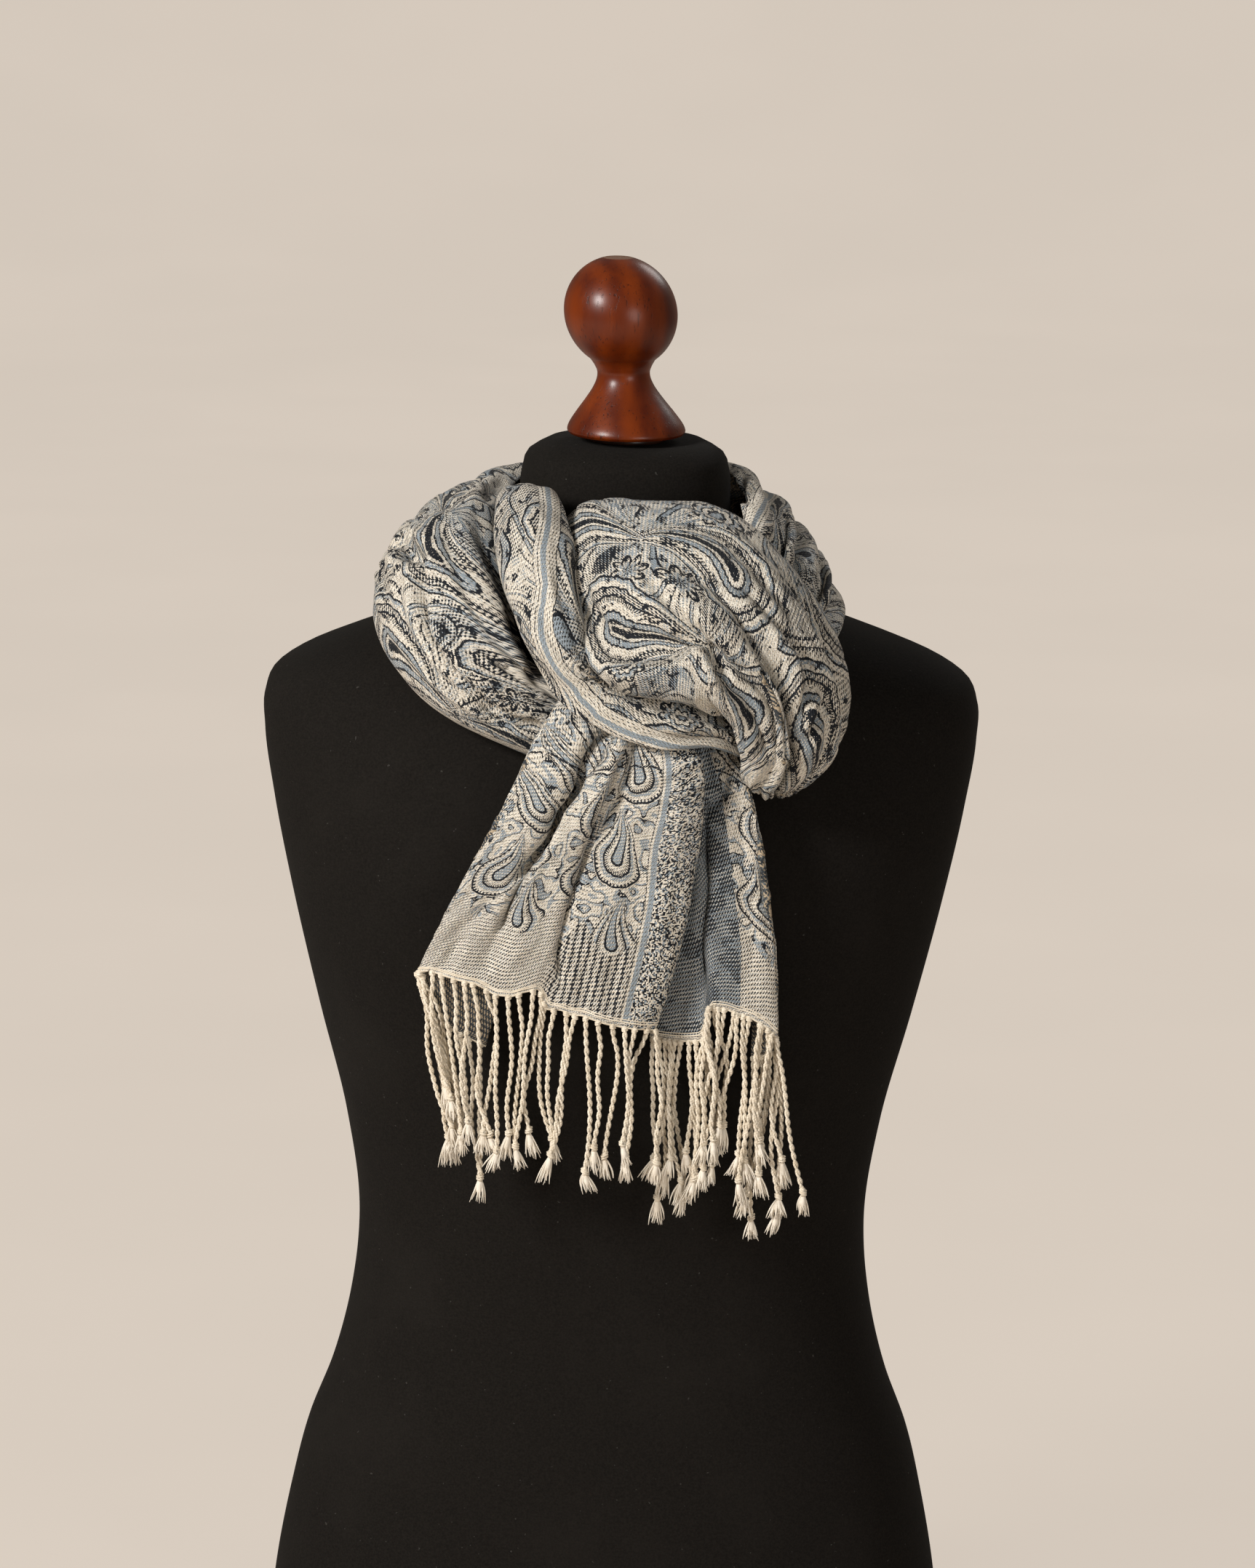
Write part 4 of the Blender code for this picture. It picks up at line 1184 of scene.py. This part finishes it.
def make_fringe(name, face, seed, shortest, longest):
    chance = np.random.RandomState(seed)
    fringe = Bundle()
    line = face[-1] - grid_normals(face)[-1] * SHELL / 2
    roots = uneven_line(line, STRANDS, chance)
    # The strands hang in loose clumps.
    clumps = roots[0, 0] + np.cumsum(chance.uniform(5, 17, 12)) - 3
    tip = None
    for number, root in enumerate(roots):
        clump = clumps[np.argmin(np.abs(clumps - root[0]))]
        depth = (number % 3 - 1) * 1.6 - 0.4
        joined = tip is not None and chance.uniform() < 0.26
        if not joined:
            reach = chance.uniform(shortest, longest)
            drift = (clump - root[0]) * 0.45 + chance.uniform(-1, 1) ** 3 * 12 + chance.uniform(-2.5, 2.5)
            tip = root + np.array((drift, depth * 0.7, -reach))
        path = strand_path(root + (0, 0, 0.4), tip, depth, chance)
        add_twist(fringe, path)
        add_knot(fringe, path[0] + (0, 0, -1.4), 1.15, chance)
        if joined:
            tip = None
            continue
        add_knot(fringe, path[-1], 1.45, chance)
        sizes = chance.uniform(10.5, 14.5), chance.uniform(3.2, 5.2), chance.uniform(-0.28, 0.28)
        add_tassel(fringe, path[-1] + (0, 0, -1.2), *sizes, chance)
    return fringe.mesh(name, [YARN, TUFT_YARN])


front_hem = hem_cords("front_hem", front_face)
rear_hem = hem_cords("rear_hem", rear_face)
front_fringe = make_fringe("twisted_fringe_front", front_face, 3, 52, 82)
rear_fringe = make_fringe("twisted_fringe_rear", rear_face, 8, 56, 84)


# ---- form and knob
def lathe(name, rings, materials, ring_materials=None):
    """Closed skin from rings of points, foot first, with flat middles at both ends."""
    kinds = None
    if ring_materials is not None:
        kinds = np.repeat(ring_materials, rings.shape[1])
        kinds = np.concatenate([kinds, [0, ring_materials[-1]]]).astype(np.int32)
    return add_mesh(name, *closed_rings(rings), materials, kinds)


FORM_SIDES = 200


def make_form():
    heights = np.concatenate([[0, 0, 0.6, 1.6, 3.0], np.linspace(4.5, FORM_HEIGHT, 230)])
    sections = np.array(FORM_SECTIONS, float)
    sizes = through(sections[:, 1:], heights, sections[:, 0])
    tuck = np.interp(heights, [0, 0.6, 1.6, 3.0], [3.0, 1.6, 0.6, 0.0])
    tuck[0] = 12.0
    power = 2 / SECTION_POWER
    across, ahead = [np.sign(part) * np.abs(part) ** power for part in circle(FORM_SIDES)]
    half, front, back = (sizes - tuck[:, None]).T
    depth = np.where(ahead < 0, front[:, None], back[:, None])
    rings = np.empty((len(heights), FORM_SIDES, 3))
    rings[..., 0] = across * half[:, None]
    rings[..., 1] = ahead * depth
    rings[..., 2] = heights[:, None]
    return lathe("jersey_form", rings, [JERSEY])


def turned_rings(profile, foot, lean, sides):
    radius, height = np.array(profile, float).T
    cosine, sine = circle(sides)
    rings = np.empty((len(profile), sides, 3))
    rings[..., 0] = np.outer(radius, cosine) - lean * height[:, None]
    rings[..., 1] = np.outer(radius, sine)
    rings[..., 2] = foot + height[:, None]
    return rings


def make_knob():
    cone = np.array(KNOB_CONE[1:], float)
    fine = through(cone, np.linspace(0, len(cone) - 1, 60))
    ball_start = math.asin((KNOB_CONE[-1][1] + 3.0 - KNOB_BALL_RISE) / KNOB_BALL_RADIUS)
    ball_end = math.asin((KNOB_HEIGHT - KNOB_BALL_RISE) / KNOB_BALL_RADIUS)
    rises = np.linspace(ball_start, ball_end, 60)
    ball = [
        (KNOB_BALL_RADIUS * math.cos(rise), KNOB_BALL_RISE + KNOB_BALL_RADIUS * math.sin(rise))
        for rise in rises
    ]
    flat = ball[-1][0]
    foot = [(4.0, 0.0), (24.0, 0.0)]
    disc = [(flat - 0.35, 0.10), (flat - 0.9, 0.12), (flat * 0.5, 0.12)]
    disc = [(radius, KNOB_HEIGHT + rise) for radius, rise in disc]
    profile = foot + fine.tolist() + ball + disc
    kinds = np.zeros(len(profile) - 1, np.int32)
    kinds[-len(disc) :] = 1
    rings = turned_rings(profile, KNOB_FOOT, KNOB_LEAN, 112)
    return lathe("turned_knob", rings, [WOOD, END_GRAIN], kinds)


def make_plinth():
    edge = [(PLINTH_RADIUS - 0.8, 0.0), (PLINTH_RADIUS - 0.2, 0.25), (PLINTH_RADIUS, 0.8)]
    top = [(radius, PLINTH_HEIGHT - height) for radius, height in reversed(edge)]
    profile = [(4.0, 0.0), *edge, *top, (4.0, PLINTH_HEIGHT)]
    rings = turned_rings(profile, FORM_HEIGHT + SEAM, 0.0, 72)
    return lathe("turned_plinth", rings, [DARK_WOOD])


form = make_form()
knob = make_knob()
plinth = make_plinth()

# ---- backdrop and light
ROOM_RADIUS = 7000.0
COVE = 2000.0


def make_room():
    """Round studio with a coved foot, so that it looks the same from every side."""
    bend = np.linspace(0, math.pi / 2, 14)
    profile = [(20.0, 0.0), (1000.0, 0.0), (2500.0, 0.0)]
    profile += [
        (ROOM_RADIUS - COVE + COVE * math.sin(turn), COVE - COVE * math.cos(turn)) for turn in bend
    ]
    profile.append((ROOM_RADIUS, 4000.0))
    rings = turned_rings(profile, -0.6, 0.0, 96)
    faces = [*ring_faces(len(profile), 96), list(range(96))]
    add_mesh("backdrop", rings.reshape(-1, 3), faces, [WALL])


def area_light(name, place, aim, size, power, colour):
    data = bpy.data.lights.new(name, "AREA")
    data.shape = "DISK"
    data.size = size
    data.energy = power
    data.color = colour
    light = add_object(name, data)
    light.location = place
    turn_to(light, Vector(aim) - Vector(place))


make_room()
area_light("key_light", (-2.1, -1.9, 2.1), (0, 0, 0.60), 0.9, 114, (1.0, 0.975, 0.95))
area_light("fill_light", (1.6, -3.0, 1.0), (0, 0, 0.55), 1.4, 24, (1.0, 0.98, 0.95))
area_light("back_light", (1.4, 2.4, 2.2), (0, 0, 0.6), 1.2, 14, (1.0, 0.98, 0.95))
world = bpy.data.worlds.new("studio")
world.use_nodes = True
set_inputs(world.node_tree.nodes["Background"], Color=(1.0, 0.975, 0.94), Strength=0.17)
bpy.context.scene.world = world
bpy.context.scene.view_settings.view_transform = "Standard"

# ---- frame
BODY = next(iter(frame["bodies"]))
STOOD_FOR = {
    strand: ("right_rolls", "neck_back", "left_lobe", "loop_under"),
    bight: ("bight_turn",),
    cowl: ("cowl",),
    tail_front: ("tail_front",),
    tail_rear: ("tail_rear",),
    front_fringe: ("fringe_front",),
    rear_fringe: ("fringe_rear",),
    form: ("dress_form",),
    knob: ("knob",),
    plinth: ("knob_plinth",),
    front_hem: (),
    rear_hem: (),
}
for piece, nodes in STOOD_FOR.items():
    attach(piece, BODY)
    if nodes:
        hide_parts(*nodes)
